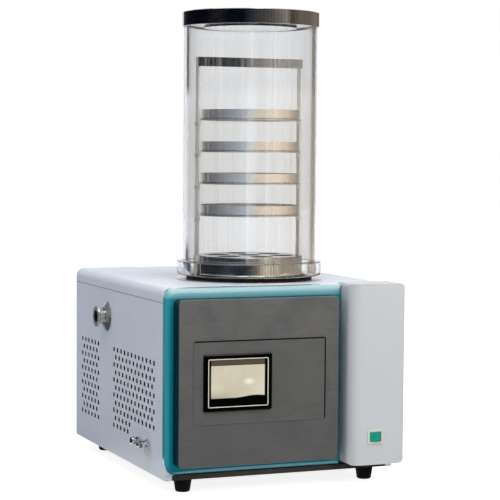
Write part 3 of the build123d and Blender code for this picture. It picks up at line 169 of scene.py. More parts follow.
# ---------------------------------------------------------------- coated and painted sheet
def powder_coat():
    """Sprayed polyester powder, baked: the film flows to a faint orange peel about 3 mm across. The punched
    slots' edges and the sheet's inner face, which no light reaches, are painted dark as shade. The seam
    under the cover is dark, drawn twice its width."""
    roughness, unevenness = 0.42, 0.03
    look = Look("powder_coated_steel", "#D0D6E0", roughness, Specular_IOR_Level=0.4)
    look.lay(look.cloud(140, 1.0), (0.35, 0.75), "#FFFFFF", 0.06)
    look.lay(look.cloud(0.9, 1.0), (0.55, 0.80), "#8C929C", 0.05)
    low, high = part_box("left_side_panel")
    right_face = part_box("right_side_panel")[1].x
    skin, inside = 0.7 * MM, 0.9 * MM
    inner_face = look.product(look.between(X, low.x + skin, low.x + inside),
                              look.between(X, right_face - skin, right_face - inside))
    punched = look.add("MapRange", {0: look.square_to(Y), 1: 0.8, 2: 0.9}, **EASED)
    # The flat field lies under the panel's top fold, behind its front one and before its rear one.
    flat_field = look.product(look.between(Z, high.z - 1.2 * MM, high.z - 2 * MM),
                              look.between(Y, low.y + 18 * MM, low.y + 20 * MM),
                              look.between(Y, high.y - 15 * MM, high.y - 20 * MM))
    painted_shade = look.product(joined(look.tree, "MAXIMUM", punched, inner_face), flat_field)
    # painted shade: the slot edges and the sheet's inner face are painted near black
    look.lay(painted_shade, None, "#08090C")
    edge_of_seam, heart_of_seam = 0.8 * MM, 0.48 * MM
    seam = look.product(look.between(Z, high.z - edge_of_seam, high.z - heart_of_seam),
                        look.between(Z, high.z + edge_of_seam, high.z + heart_of_seam))
    look.lay(seam, None, "#3F444D", 0.75)
    look.lay(look.cloud(3.0, 1.0), depth=0.008)
    look.lay(look.cloud(30, 2.0), (0.3, 0.7), roughness=(roughness - unevenness, roughness + unevenness))
    look.set("Roughness", joined(look.tree, "MAXIMUM", look.so_far("Roughness"), painted_shade))
    return look.material


def black_powder_coat():
    """The base pan's matt black powder: a slightly browned black with a coarser peel."""
    look = Look("black_powder_coat", "#2B2928", 0.42, edge=0.5)
    look.lay(look.cloud(25, 3.0), (0.4, 0.8), "#4A4643", 0.35)
    look.lay(look.cloud(1.6, 2.0), depth=0.03)
    return look.material


def gloss_black_enamel():
    """Dipped black enamel on a welded shell: thick, glossy, with soft sags and a little dust on top."""
    look = Look("gloss_black_enamel", "#0D0D0E", 0.22, edge=1.0, Coat_Weight=0.6, Coat_Roughness=0.08)
    look.lay(look.cloud(9.0, 2.0, (1, 1, 2.5)), depth=0.12)
    level = look.add("MapRange", {0: look.looks(Z, "Normal"), 1: 0.4, 2: 1.0}, **EASED)
    settled = look.add("MapRange", {0: look.cloud(6, 4.0), 1: 0.35, 2: 0.75}, **EASED)
    look.lay(look.product(level, settled), None, "#6D6A63", 0.25)
    return look.material


# ---------------------------------------------------------------- mouldings
def gloss_teal_abs():
    """High-gloss injection-moulded ABS with a clear coat: deep teal, a few soft flow ripples, and fine
    pearl flakes that mottle the bright roll along its edge. The strip over the panel is slightly crowned,
    and a broad pale sheen is painted over it; a paler painted highlight runs along the rolled outer edge."""
    look = Look("gloss_teal_abs", "#00899A", 0.12,
                Specular_IOR_Level=0.35, Coat_Weight=1.0, Coat_Roughness=0.05)
    look.lay(look.cloud(18, 3.0), (0.45, 0.8), "#009A9E", 0.25)
    look.lay(look.cells(1.4), (0.75, 1.0), "#20B8B4", 0.12)
    look.lay(look.cloud(24, 1.0), depth=0.12)
    crown_mm, roll, rolled_over = 8.0, 9 * MM, 2 * MM
    rise = look.between(Z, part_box("front_panel")[1].z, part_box("front_bezel")[1].z)
    look.lay(look.product(rise, rise, -1.0), depth=crown_mm)
    # painted sheen: a pale tone over the crowned strip above the panel
    look.lay(rise, None, "#BCD8D5", 0.80)
    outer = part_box("front_bezel")[0].x
    # painted highlight along the rolled outer edge
    look.lay(look.between(X, outer + roll, outer + rolled_over), None, "#6FCACB", 0.26)
    return look.material


def satin_navy_abs():
    """Moulded ABS with a satin tool finish: near black with a blue cast."""
    look = Look("satin_navy_abs", "#051220", 0.25, edge=0.6, Specular_IOR_Level=0.3)
    look.lay(look.cloud(12, 3.0), (0.4, 0.8), "#0A2238", 0.3)
    look.lay(look.cloud(0.8, 2.0), depth=0.01)
    return look.material


def spark_eroded_abs():
    """Warm grey ABS from a spark-eroded tool: an even pebbled grain of 0.8 mm that reads as fine noise,
    drawn a little coarser than the real 0.4 mm so that it shows. It is cloudy at several sizes and darker
    towards the foot, and its sides, which turn away into the housing, are painted nearly black as shade."""
    look = Look("spark_eroded_abs", "#646361", 0.50, edge=0.5, Specular_IOR_Level=0.35)
    grain = look.add("TexVoronoi", {"Vector": look.at, "Scale": 1 / 0.8}, feature="SMOOTH_F1")
    look.lay(grain, (0.25, 0.75), "#3F3E3D", 0.14)
    look.lay(look.cloud(2.2, 3.0), (0.5, 0.8), "#7D7B76", 0.30)
    look.lay(look.cloud(90, 3.0), (0.35, 0.70), "#77746E", 0.22)
    look.lay(look.cloud(30, 4.0, (1.3, 1, 2)), (0.45, 0.75), "#3E4044", 0.26)
    look.lay(look.cloud(7, 4.0, (5, 1, 1)), (0.45, 0.75), "#46474A", 0.22)
    low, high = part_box("front_panel")
    look.lay(look.between(Z, high.z, low.z), None, "#3E4044", 0.30)
    # painted shade: sides that turn away into the housing are nearly black
    look.lay(look.square_to(X), (0.4, 0.9), "#141B24", 0.85)
    look.lay(grain, (0.2, 0.8), roughness=(0.46, 0.60), depth=0.05)
    return look.material


def matt_polyester_film():
    """A screen-printed membrane of matt polyester: flatter and a touch darker than the moulding under
    it."""
    look = Look("matt_polyester_film", "#5D5C5A", 0.44, Specular_IOR_Level=0.35)
    look.lay(look.cloud(0.6, 2.0), (0.45, 0.75), "#6A6966", 0.10)
    look.lay(look.cloud(60, 3.0), (0.35, 0.70), "#6E6C68", 0.20)
    look.lay(look.cloud(7, 4.0, (5, 1, 1)), (0.45, 0.75), "#46474A", 0.22)
    look.lay(look.cloud(0.5, 2.0), depth=0.008)
    return look.material


def painted_column_abs():
    """ABS painted in a pale satin lacquer: smooth, with a barely visible spray texture, and painted shade
    that darkens its top."""
    look = Look("painted_column_abs", "#D1D2D3", 0.30, edge=0.4, Coat_Weight=0.45, Coat_Roughness=0.12)
    look.lay(look.cloud(160, 1.0), (0.35, 0.75), "#DADBDD", 0.12)
    look.lay(look.cloud(0.8, 2.0), (0.55, 0.8), "#A8AAAE", 0.06)
    look.lay(look.cloud(1.2, 2.0), depth=0.006)
    look.lay(look.cloud(40, 1.0), depth=0.10)
    # painted shade: faces that look up are darkened
    look.lay(look.looks(Z), (0.5, 1.0), "#9EA2A8", 0.80)
    return look.material


def piano_black_abs():
    """Polished black ABS of the screen's case: a hard gloss with fine wiping marks."""
    look = Look("piano_black_abs", "#030303", 0.12, edge=0.6, Specular_IOR_Level=0.15)
    look.lay(look.cloud(5, 4.0, (3, 1, 1)), (0.35, 0.7), roughness=(0.08, 0.16))
    look.lay(look.cloud(0.5, 1.0), depth=0.003)
    return look.material


def moulded_plastic(name, base, darker, roughness, grain, **shader):
    """A small moulded part: an even colour that darkens a little in its flow marks, and a tool grain
    of grain mm."""
    look = Look(name, base, roughness, edge=0.35, **shader)
    look.lay(look.cloud(7, 3.0), (0.4, 0.8), darker, 0.30)
    look.lay(look.cloud(grain, 2.0), (0.5, 0.8), darker, 0.25, depth=0.02)
    return look.material


def green_polycarbonate():
    """The rocker's dyed translucent polycarbonate: light soaks a little way in, and the top is glossy.
    Its edges, down in the frame's gap, are painted dark as shade."""
    look = Look("green_polycarbonate", "#12A386", 0.22, edge=0.5, Coat_Weight=0.6, Coat_Roughness=0.06,
                Subsurface_Weight=0.25, Subsurface_Radius=[1.0, 2.0, 1.5], Subsurface_Scale=1 * MM)
    look.lay(look.cloud(6, 2.0), (0.4, 0.8), "#0B8A74", 0.30)
    # painted shade: the edges in the frame's gap are dark
    look.lay(look.square_to(Y), (0.75, 0.35), "#08231E")
    look.lay(look.cloud(1.5, 1.0), depth=0.01)
    return look.material


def moulded_rubber(name, base):
    """Moulded rubber: a soft matt black that greys where it is rubbed, with a fine grain."""
    look = Look(name, base, 0.70, Specular_IOR_Level=0.1)
    look.lay(look.cloud(4, 4.0), (0.5, 0.8), "#171718", 0.30)
    look.lay(look.cloud(0.6, 3.0), depth=0.03)
    return look.material


# ---------------------------------------------------------------- steel and other metals
# A belt's scratches are 30 mm long and 0.6 mm wide, drawn wider than real so that they show.
SCRATCH_LONG, SCRATCH_WIDE = 30.0, 0.6


def belt_scratches(look, along):
    """The lines that a grinding belt leaves, drawn out along one axis."""
    stretch = [SCRATCH_LONG if axis == along else SCRATCH_WIDE for axis in (X, Y, Z)]
    return look.cloud(1.0, 3.0, stretch)


def brushed_stainless(name, along, roughness, metallic=1.0, base="#CFCBC4"):
    """Stainless strip with a belt-ground finish: fine bright and dull scratches along its length."""
    look = Look(name, base, roughness, metallic, edge=0.3)
    lines = belt_scratches(look, along)
    look.lay(lines, (0.4, 0.75), "#9A958C", 0.35)
    look.lay(lines, (0.3, 0.7), roughness=(roughness - 0.07, roughness + 0.10), depth=0.02)
    return look.material


def ground_bar():
    """The rack's handle bar, belt ground along its length: a dark blue-grey reflection is painted over its
    left end and fades to bright metal, broken by a few lighter bands across it."""
    look = Look("ground_stainless_bar", "#EDEAE4", 0.15, 1.0)
    low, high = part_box("rack_bar")
    lines = belt_scratches(look, X)
    # painted reflection: dark blue-grey over the left end, fading to the right
    look.lay(look.between(X, low.x, high.x), (0.66, 0.40), "#222B3B", 0.93)
    look.lay(look.cloud(9, 2.0, (1, 50, 50)), (0.52, 0.62), "#E4E0D8", 0.45)
    look.lay(lines, (0.4, 0.75), "#7B7872", 0.35, depth=0.02)
    return look.material


def turned_stainless(name, base, roughness, metallic=1.0, top=None):
    """Turned and polished stainless: rings left by the tool round the bell's axis, 0.9 mm apart, faintly
    hazed. A colour for its top is a painted dark reflection on faces that look up."""
    look = Look(name, base, roughness, metallic, edge=0.4)
    centred = look.add("VectorMath", {0: look.at, 1: bell_axis / MM}, operation="SUBTRACT")
    flat = look.add("VectorMath", {0: centred, 1: (1, 1, 0)}, operation="MULTIPLY")
    radius = look.add("VectorMath", {0: flat}, "Value", operation="LENGTH")
    height = look.add("SeparateXYZ", {0: look.at}, Z)
    spot = look.add("CombineXYZ", {0: radius, 1: height})
    rings = look.add("TexNoise", {"Vector": spot, "Scale": 1 / 0.9, "Detail": 3.0})
    look.lay(rings, (0.45, 0.75), "#A5A29C", 0.18, depth=0.004)
    look.lay(look.cloud(22, 3.0), (0.35, 0.7), roughness=(roughness, roughness + 0.05))
    if top:
        # painted reflection: a dark tone on faces that look up
        look.lay(look.looks(Z), (0.4, 0.9), top, 0.92)
    return look.material


def pressed_stainless():
    """Cold-rolled stainless sheet pressed into a dish: a bright wall with faint draw marks,
    and a milky satin bottom that the press did not stretch."""
    roughness = 0.17
    look = Look("pressed_stainless_tray", "#E6E4E0", roughness, 1.0, edge=0.3)
    draw = look.cloud(1.0, 3.0, (6, 6, 0.5))
    look.lay(draw, (0.4, 0.8), "#9C9993", 0.25)
    look.lay(look.cloud(26, 3.0), (0.45, 0.75), "#B7B2A8", 0.20)
    look.lay(draw, (0.3, 0.7), roughness=(roughness - 0.05, roughness + 0.08), depth=0.008)
    flat = look.add("MapRange", {0: look.square_to(Z), 1: 0.6, 2: 0.9, 4: 0.28}, **EASED)
    look.set("Roughness", joined(look.tree, "ADD", look.so_far("Roughness"), flat))
    return look.material


def chromed_brass():
    """Nickel and chrome plate over polished brass: a bright mirror with tiny pits, and dark patches 5 mm
    across that are painted reflections."""
    look = Look("chromed_brass", "#D9D9DA", 0.10, 1.0, edge=0.4)
    look.lay(look.cloud(1.1, 3.0), (0.6, 0.8), "#8E8E90", 0.4)
    # painted reflection: dark patches 5 mm across
    look.lay(look.cloud(5.0, 2.0), (0.48, 0.56), "#2C2C30", 0.85)
    look.lay(look.cloud(3, 3.0), (0.35, 0.7), roughness=(0.06, 0.20))
    look.lay(look.cloud(2.0, 2.0), depth=0.01)
    return look.material


def drawn_copper():
    """Soft drawn copper pipe: salmon metal with brown oxide in patches and faint draw lines."""
    look = Look("drawn_copper", "#C77A52", 0.30, 1.0)
    look.lay(look.cloud(14, 4.0), (0.45, 0.75), "#7A4328", 0.6)
    look.lay(look.cloud(3, 3.0), (0.55, 0.8), "#E0A27D", 0.4)
    look.lay(look.cloud(8, 3.0), (0.3, 0.7), roughness=(0.22, 0.46))
    look.lay(look.cloud(1.0, 2.0), depth=0.01)
    return look.material


def coated_fins():
    """Condenser fins and pipes dipped in black epoxy: satin, thin enough that edges show grey metal."""
    look = Look("black_epoxy_coated_fins", "#1E1E1F", 0.38)
    look.lay(look.cloud(9, 4.0), (0.45, 0.75), "#4A4947", 0.45)
    look.lay(look.cloud(2.0, 2.0, (1, 1, 4)), depth=0.05)
    return look.material


def zinc_plated():
    """Zinc-plated sheet under a pale passivation: cool grey with a cloudy spangle 6 mm across."""
    look = Look("zinc_plated", "#B4B7BA", 0.34, 1.0, edge=0.3)
    look.lay(look.cells(6.0), (0.0, 1.0), "#8D9298", 0.35, roughness=(0.28, 0.42))
    look.lay(look.cloud(20, 3.0), (0.5, 0.8), "#A9A28D", 0.3)
    return look.material


# ---------------------------------------------------------------- clear and soft materials
def let_lamps_through(look):
    """Clear plastic passes lamplight nearly whole, so shadow rays see a plain pale filter."""
    path = look.add("LightPath", out="Is Shadow Ray")
    clear = look.add("BsdfTransparent", {0: srgb("#F2F4F5")})
    either = look.add("MixShader", {0: path, 1: look.shader.outputs[0], 2: clear})
    look.tree.links.new(either, look.tree.nodes["Material Output"].inputs["Surface"])


def extruded_acrylic():
    """Extruded acrylic tube: water-clear, with shallow die lines along its length that break the room's
    reflection into upright streaks. The lines are drawn 3 to 7 mm wide so that they show, and a faint
    milk-white along them is a painted reflection of pale streaks. The tube is a little greyer towards its
    foot."""
    look = Look("extruded_acrylic", "#F2F3F4", 0.0, IOR=1.49)
    look.lay(look.cloud(7.0, 3.0, (1, 1, 90)), depth=0.10)
    fine, broad = look.cloud(5.0, 3.0, (1, 1, 200)), look.cloud(45.0, 1.0, (1, 1, 30))
    milky_painted_streaks = look.product(look.add("MapRange", {0: fine, 1: 0.45, 2: 0.75}, **EASED),
                         look.add("MapRange", {0: broad, 1: 0.35, 2: 0.65, 3: 0.25}, **EASED))
    passed = look.add("MapRange", {0: milky_painted_streaks, 3: 0.99, 4: 0.80}, **EASED)
    look.set("Transmission Weight", passed)
    clear_from, greyer_from = 0.76, 0.66
    look.lay(look.between(Z, clear_from, greyer_from), None, "#DEDDDB", 0.35)
    # painted reflection: milk-white along the die lines
    look.lay(milky_painted_streaks, None, "#FFFFFF")
    let_lamps_through(look)
    return look.material


def cast_acrylic(name, edge):
    """Cast acrylic, sawn and turned, then flame polished: clear with shallow rings and soft edges."""
    look = Look(name, "#F8FAFA", 0.0, edge=edge, Transmission_Weight=1.0, IOR=1.49)
    look.lay(look.cloud(14.0, 2.0, (1, 1, 0.4)), depth=0.14)
    let_lamps_through(look)
    return look.material


def clear_silicone():
    """Extruded silicone hose: milky and rubbery."""
    look = Look("clear_silicone", "#D8D8D2", 0.35,
                Subsurface_Weight=0.4, Subsurface_Radius=[3, 3, 3], Subsurface_Scale=1 * MM)
    look.lay(look.cloud(10, 3.0), (0.45, 0.8), "#BDBBAE", 0.3)
    look.lay(look.cloud(2.5, 2.0), depth=0.02)
    return look.material


def foamed_rubber():
    """Black closed-cell elastomer foam, knife cut: cells 1.5 mm across and a dusty bloom."""
    look = Look("black_elastomer_foam", "#1B1B1D", 0.85, Specular_IOR_Level=0.2)
    pores = look.add("TexVoronoi", {"Vector": look.at, "Scale": 1 / 1.5})
    look.lay(pores, (0.6, 0.1), "#0C0C0D", 0.6, depth=0.5)
    look.lay(look.cloud(30, 3.0), (0.45, 0.75), "#343436", 0.3)
    return look.material


def solder_masked_board():
    """A populated board: green mask over tracks 4 mm apart, with tinned pads."""
    look = Look("solder_masked_board", "#0F5A30", 0.35, Coat_Weight=0.5, Coat_Roughness=0.2)
    tracks = look.add("TexBrick", {"Vector": look.at, "Scale": 1 / 4.0, "Mortar Size": 0.05}, "Fac")
    look.lay(tracks, None, "#2F8A4F", 0.5, depth=0.03)
    pads = look.add("TexVoronoi", {"Vector": look.at, "Scale": 1 / 3.2})
    look.lay(pads, (0.16, 0.10), "#B9B7A8")
    return look.material


def display_under_glass():
    """A small colour display behind its printed cover glass: a cream lit field with a darker cast towards
    its lower left and a soft painted highlight right of its middle, a thin smoky band above it, and the
    black print of the mask, raised at the foot by a painted dark reflection whose upper edge rises in a low
    hump at the foot's right."""
    low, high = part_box("screen_glass")
    look = Look("display_under_glass", "#040404", 0.10, Specular_IOR_Level=0.15)
    across = look.between(X, low.x, high.x, clamp=False)
    up = look.between(Z, low.z, high.z, clamp=False)
    place = look.add("CombineXYZ", {0: across, 1: up})

    def near(centre, reach, most):
        """most at a spot of the glass, falling to 0 on an ellipse round it."""
        moved = (-centre[0] / reach[0], -centre[1] / reach[1], 0)
        scaled = (1 / reach[0], 1 / reach[1], 1)
        away = look.add("Mapping", {"Vector": place, "Location": moved, "Scale": scaled})
        length = look.add("VectorMath", {0: away}, "Value", operation="LENGTH")
        return look.add("MapRange", {0: length, 1: 1.0, 2: 0.0, 4: most}, **EASED)

    # painted reflection: the black foot below the lit field, with its low hump
    hump = near((0.80, 0.10), (0.38, 1.0), -0.045)
    over_hump = joined(look.tree, "ADD", up, hump)
    # Each edge of the lit field: what is measured, where the light starts, and where it is full.
    edges = ((across, 0.035, 0.050), (across, 0.950, 0.935), (over_hump, 0.175, 0.195), (up, 0.875, 0.860))
    inside = [look.add("MapRange", {0: value, 1: start, 2: full}, **EASED) for value, start, full in edges]
    sides, field = look.product(*inside[:2]), look.product(*inside)
    above = look.add("MapRange", {0: up, 1: 0.865, 2: 0.885, 4: 0.7}, **EASED)
    look.lay(look.product(sides, above), None, "#6B5D4C")
    mottle = look.add("MapRange", {0: look.cloud(60, 2.0), 1: 0.3, 2: 0.7}, **EASED)
    corner = look.product(look.add("MapRange", {0: across, 1: 0.6, 2: 0.0}, **EASED),
                          look.add("MapRange", {0: up, 1: 0.45, 2: 0.14, 4: 0.55}, **EASED))
    # painted highlight: a soft pale spot right of the middle
    painted_highlight_spot = near((0.68, 0.52), (0.13, 0.10), 0.8)
    lit = srgb("#D6CEB9")
    for share, colour in ((mottle, "#C9C0A8"), (corner, "#7A735E"), (painted_highlight_spot, "#F4F0E2")):
        lit = look.add("Mix", {0: share, 6: lit, 7: srgb(colour)}, out=2, data_type="RGBA")
    shown = look.add("Mix", {0: field, 6: look.so_far("Base Color"), 7: lit}, out=2, data_type="RGBA")
    look.set("Base Color", shown)
    look.set("Emission Color", shown)
    look.set("Emission Strength", look.product(field, 0.14))
    look.lay(look.cloud(40, 1.0), depth=0.05)
    return look.material


def print_and_shade_film(name, base, lighter):
    """Screen-printed colour, also used for the painted shadow and highlight lines: a thin even film with
    slightly ragged tone.
    """
    look = Look(name, base, 0.6, Specular_IOR_Level=0.2)
    look.lay(look.cloud(0.8, 3.0), (0.45, 0.8), lighter, 0.35)
    look.lay(look.cloud(0.5, 2.0), depth=0.01)
    return look.material


# ---------------------------------------------------------------- which node has which finish
bell_low, bell_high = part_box("bell_tube")
bell_axis = Vector(((bell_low.x + bell_high.x) / 2, (bell_low.y + bell_high.y) / 2, 0.0))
coat, chrome, zinc = powder_coat(), chromed_brass(), zinc_plated()

FINISHES = {
    coat: ("left_side_panel", "right_side_panel", "top_cover", "rear_panel"),
    black_powder_coat(): ("base_pan",),
    gloss_black_enamel(): ("compressor",),
    gloss_teal_abs(): ("front_bezel",),
    satin_navy_abs(): ("panel_housing",),
    spark_eroded_abs(): ("front_panel",),
    matt_polyester_film(): ("overlay",),
    painted_column_abs(): ("column_cover",),
    piano_black_abs(): ("screen_case",),
    display_under_glass(): ("screen_glass",),
    moulded_plastic("cream_nylon", "#DDDED4", "#B9BAAE", 0.35, 0.9): ("rocker_frame",),
    moulded_plastic("light_grey_nylon", "#C9C9C5", "#A3A3A0", 0.30, 0.9, Coat_Weight=0.2): ("drain_lever",),
    moulded_plastic("black_glass_filled_nylon", "#151516", "#2A2A2B", 0.45, 0.7): (
        "power_inlet", "fan_blades"),
    green_polycarbonate(): ("rocker_button",),
    moulded_rubber("moulded_neoprene", "#060607"): (
        "foot_front_left", "foot_front_right", "foot_rear_left", "foot_rear_right", "compressor_grommets"),
    moulded_rubber("vacuum_nitrile", "#0B0C0F"): ("bell_seal",),
    brushed_stainless("brushed_stainless_upright", Z, 0.40, 0.5, "#ECE5DA"): ("rack_posts",),
    brushed_stainless("brushed_stainless_level", X, 0.20): (
        "tray_support_1", "tray_support_2", "tray_support_3", "tray_support_4"),
    brushed_stainless("linished_stainless_pipe", X, 0.20): ("vacuum_line",),
    ground_bar(): ("rack_bar",),
    turned_stainless("turned_polished_stainless", "#D6D4D0", 0.05): ("lid_band", "rack_screws"),
    # painted dark reflection on the rack base's top
    turned_stainless("turned_rack_base", "#D6D4D0", 0.05, top="#48494D"): ("rack_base",),
    turned_stainless("fine_turned_stainless", "#C4C3C1", 0.24, metallic=0.80): ("port_escutcheon",),
    turned_stainless("electropolished_stainless", "#CDCBC6", 0.22): ("trap_vessel",),
    pressed_stainless(): ("tray_1", "tray_2", "tray_3", "tray_4"),
    chrome: ("vent_valve_body", "vent_valve_knob", "drain_valve_body"),
    drawn_copper(): ("evaporator_jacket", "filter_drier", "discharge_line", "liquid_line", "suction_line"),
    coated_fins(): ("condenser",),
    zinc: ("front_wall", "vacuum_gauge", "fan_shroud", "fan_motor", "power_supply"),
    extruded_acrylic(): ("bell_tube",),
    cast_acrylic("turned_cast_acrylic", 1.0): ("bell_flange",),
    cast_acrylic("sawn_cast_acrylic", 0.6): ("lid_plate",),
    clear_silicone(): ("drain_hose",),
    foamed_rubber(): ("trap_insulation",),
    solder_masked_board(): ("control_board",),
}
for finish, names in FINISHES.items():
    for name in names:
        nodes[name].data.materials.clear()
        nodes[name].data.materials.append(finish)


# ---------------------------------------------------------------- how pieces are made
def mesh_piece(name, points, faces, material, body, sharp=35.0):
    """Turns points and faces into a smooth-shaded piece that rides on a body. Edges that turn by more
    than sharp degrees stay crisp."""
    mesh = bpy.data.meshes.new(name)
    mesh.from_pydata(np.asarray(points, float).tolist(), [], faces)
    work = bmesh.new()
    work.from_mesh(mesh)
    bmesh.ops.remove_doubles(work, verts=work.verts, dist=1e-7)
    bmesh.ops.recalc_face_normals(work, faces=work.faces)
    work.to_mesh(mesh)
    work.free()
    mesh.shade_smooth()
    mesh.set_sharp_from_angle(angle=math.radians(sharp))
    mesh.materials.append(material)
    piece = bpy.data.objects.new(name, mesh)
    bpy.context.scene.collection.objects.link(piece)
    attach(piece, body)
    return piece


def quads(rows, cols, wrap_rows, wrap_cols):
    """The faces that join neighbouring points of a grid, going round where a side wraps."""
    index = np.arange(rows * cols).reshape(rows, cols)
    if wrap_rows:
        index = np.concatenate([index, index[:1]], 0)
    if wrap_cols:
        index = np.concatenate([index, index[:, :1]], 1)
    corners = (index[:-1, :-1], index[1:, :-1], index[1:, 1:], index[:-1, 1:])
    return np.stack(corners, -1).reshape(-1, 4).tolist()


def end_caps(rows, cols):
    """The two faces that close a tube of rows rings, each with cols points."""
    return [list(range(cols))[::-1], list(range((rows - 1) * cols, rows * cols))]


def carried(path, normal, profile, closed):
    """A profile carried along a flat path: point = path(i) + across(i) * u + normal * v, where across
    is normal x tangent, lengthened at a corner so that the strip keeps its width. Open ends are capped."""
    path, normal = np.asarray(path, float), np.asarray(normal, float)
    ahead = np.roll(path, -1, 0) - path
    if not closed:
        ahead[-1] = ahead[-2]
    ahead /= np.linalg.norm(ahead, axis=1)[:, None]
    behind = np.roll(ahead, 1, 0)
    if not closed:
        behind[0] = ahead[0]
    across = np.cross(normal, ahead + behind)
    across /= np.linalg.norm(across, axis=1)[:, None]
    sharpest = 0.3
    widen = 1 / np.maximum(np.einsum("ij,ij->i", across, np.cross(normal, ahead)), sharpest)
    u, v = np.asarray(profile, float).T
    points = path[:, None, :] + (across * widen[:, None])[:, None, :] * u[None, :, None]
    points = points + normal[None, None, :] * v[None, :, None]
    rows, cols = points.shape[:2]
    faces = quads(rows, cols, closed, True) + ([] if closed else end_caps(rows, cols))
    return points.reshape(-1, 3), faces


def arc(centre, radius, start, end, steps):
    """Points of a flat arc: centre + radius * (cos t, sin t), t from start to end in degrees."""
    t = np.radians(np.linspace(start, end, steps))
    return np.stack([centre[0] + radius * np.cos(t), centre[1] + radius * np.sin(t)], -1)


def facing(points, y):
    """Flat (x, z) points stood up in the plane at y."""
    points = np.asarray(points, float)
    return np.stack([points[:, 0], np.full(len(points), y), points[:, 1]], -1)


def print_and_shade_line(name, outline, y, width, height, ink, closed=False):
    """A line of colour on a front at y, for print and for painted shadow and highlight lines: a low bead
    carried along a flat (x, z) outline, flat underneath and rounded on top."""
    half, shoulder = width / 2, 0.6
    bead = [(-half, 0), (-half, height * shoulder), (-half * shoulder, height), (half * shoulder, height),
            (half, height * shoulder), (half, 0)]
    points, faces = carried(facing(outline, y), (0, -1, 0), bead, closed)
    mesh_piece(name, points, faces, ink, "cabinet")


# ---------------------------------------------------------------- printed lines, and painted shadow and highlight lines, on the front
shadow_ink = print_and_shade_film("painted_shadow_ink", "#060606", "#101011")
highlight_ink = print_and_shade_film("painted_highlight_ink", "#6C6B68", "#7D7C78")
cream_ink = print_and_shade_film("cream_screen_ink", "#E6DFC9", "#CFC6AB")

# The membrane's black line, a painted shadow, runs along its top and down its right side, and the pale one,
# a painted highlight, down its left side and along its foot.
over_low, over_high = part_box("overlay")
INSET, GAP, TURN = 1.2 * MM, 3 * MM, 2.5 * MM
left, right = over_low.x + INSET, over_high.x - INSET
top, foot = over_high.z - INSET, over_low.z + INSET
turn = arc((right - TURN, top - TURN), TURN, 90, 0, 9)
outline = np.concatenate([[(left, top)], turn, [(right, foot)]])
# painted shadow along the membrane's top and right edges
print_and_shade_line("membrane_painted_shadow_line", outline, over_low.y, 2.6 * MM, 0.15 * MM, shadow_ink)
outline = [(left, top - GAP), (left, foot), (right - GAP, foot)]
# painted highlight along the membrane's left edge and foot
print_and_shade_line("membrane_painted_highlight_line", outline, over_low.y, 0.5 * MM, 0.12 * MM, highlight_ink)

# The line round the display's glass.
glass_low, glass_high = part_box("screen_glass")
ROUND = 2.0 * MM
x0, x1 = glass_low.x + ROUND, glass_high.x - ROUND
z0, z1 = glass_low.z + ROUND, glass_high.z - ROUND
corners = (((x1, z1), 90), ((x1, z0), 0), ((x0, z0), -90), ((x0, z1), 180))
outline = np.concatenate([arc(centre, ROUND, start, start - 90, 5) for centre, start in corners])
print_and_shade_line("display_frame_line", outline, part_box("screen_case")[0].y, 1.5 * MM, 0.15 * MM, cream_ink,
             closed=True)


# ---------------------------------------------------------------- corner filler under the moulded front
def corner_filler():
    """The folded front end of the left panel, seen past the frame's round lower corner: the area between
    the square corner and an arc that clears the frame, carried straight back."""
    frame_low, panel_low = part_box("front_bezel")[0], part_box("left_side_panel")[0]
    turn, clear, depth, steps = 20 * MM, 0.15 * MM, 19 * MM, 17
    x, z = frame_low.x, frame_low.z
    reach = math.degrees(math.acos(turn / (turn + clear)))
    rim = arc((x + turn, z + turn), turn + clear, 180 + reach, 270 - reach, steps)
    flat = np.concatenate([rim, [(x, z)]])
    points = np.concatenate([facing(flat, panel_low.y), facing(flat, frame_low.y + depth)])
    return points, quads(2, len(flat), False, True) + end_caps(2, len(flat))


points, faces = corner_filler()
mesh_piece("side_panel_front_corner", points, faces, coat, "cabinet")


# ---------------------------------------------------------------- knurled knob of the vent valve
def knurled_knob():
    """A ball-shaped knob on the X axis. Its radius along the axis is a superellipse, and round its
    waist it is cut by two crossed sets of helical grooves:
    r = R(t) - depth * (1 - max(cos(n a + k t), cos(n a - k t)))."""
    rings, spokes = 41, 96
    neck, fullness = 0.38, (3.2, 2.6)
    grooves, twist, groove_depth, waist_reach = 24, 44, 0.28 * MM, 0.62
    low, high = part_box("vent_valve_knob")
    y, z = (low.y + high.y) / 2, (low.z + high.z) / 2
    length, radius = high.x - low.x, (high.y - low.y) / 2
    t = np.linspace(0, 1, rings)[:, None]
    a = np.linspace(0, 2 * math.pi, spokes, endpoint=False)[None, :]
    from_middle = np.abs(2 * t - 1)
    shape = radius * (neck + (1 - neck) * (1 - from_middle ** fullness[0]) ** (1 / fullness[1]))
    waist = np.clip(1 - (from_middle / waist_reach) ** 6, 0, 1)
    cuts = np.maximum(np.cos(grooves * a + twist * t), np.cos(grooves * a - twist * t))
    r = shape - groove_depth * waist * (1 - cuts)
    points = np.stack([high.x - length * t + 0 * a, y + r * np.cos(a), z + r * np.sin(a)], -1)
    return points.reshape(-1, 3), quads(rings, spokes, False, True) + end_caps(rings, spokes)


points, faces = knurled_knob()
knob = mesh_piece("vent_knurled_knob", points, faces, chrome, "vent_knob", 50.0)
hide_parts("vent_valve_knob")


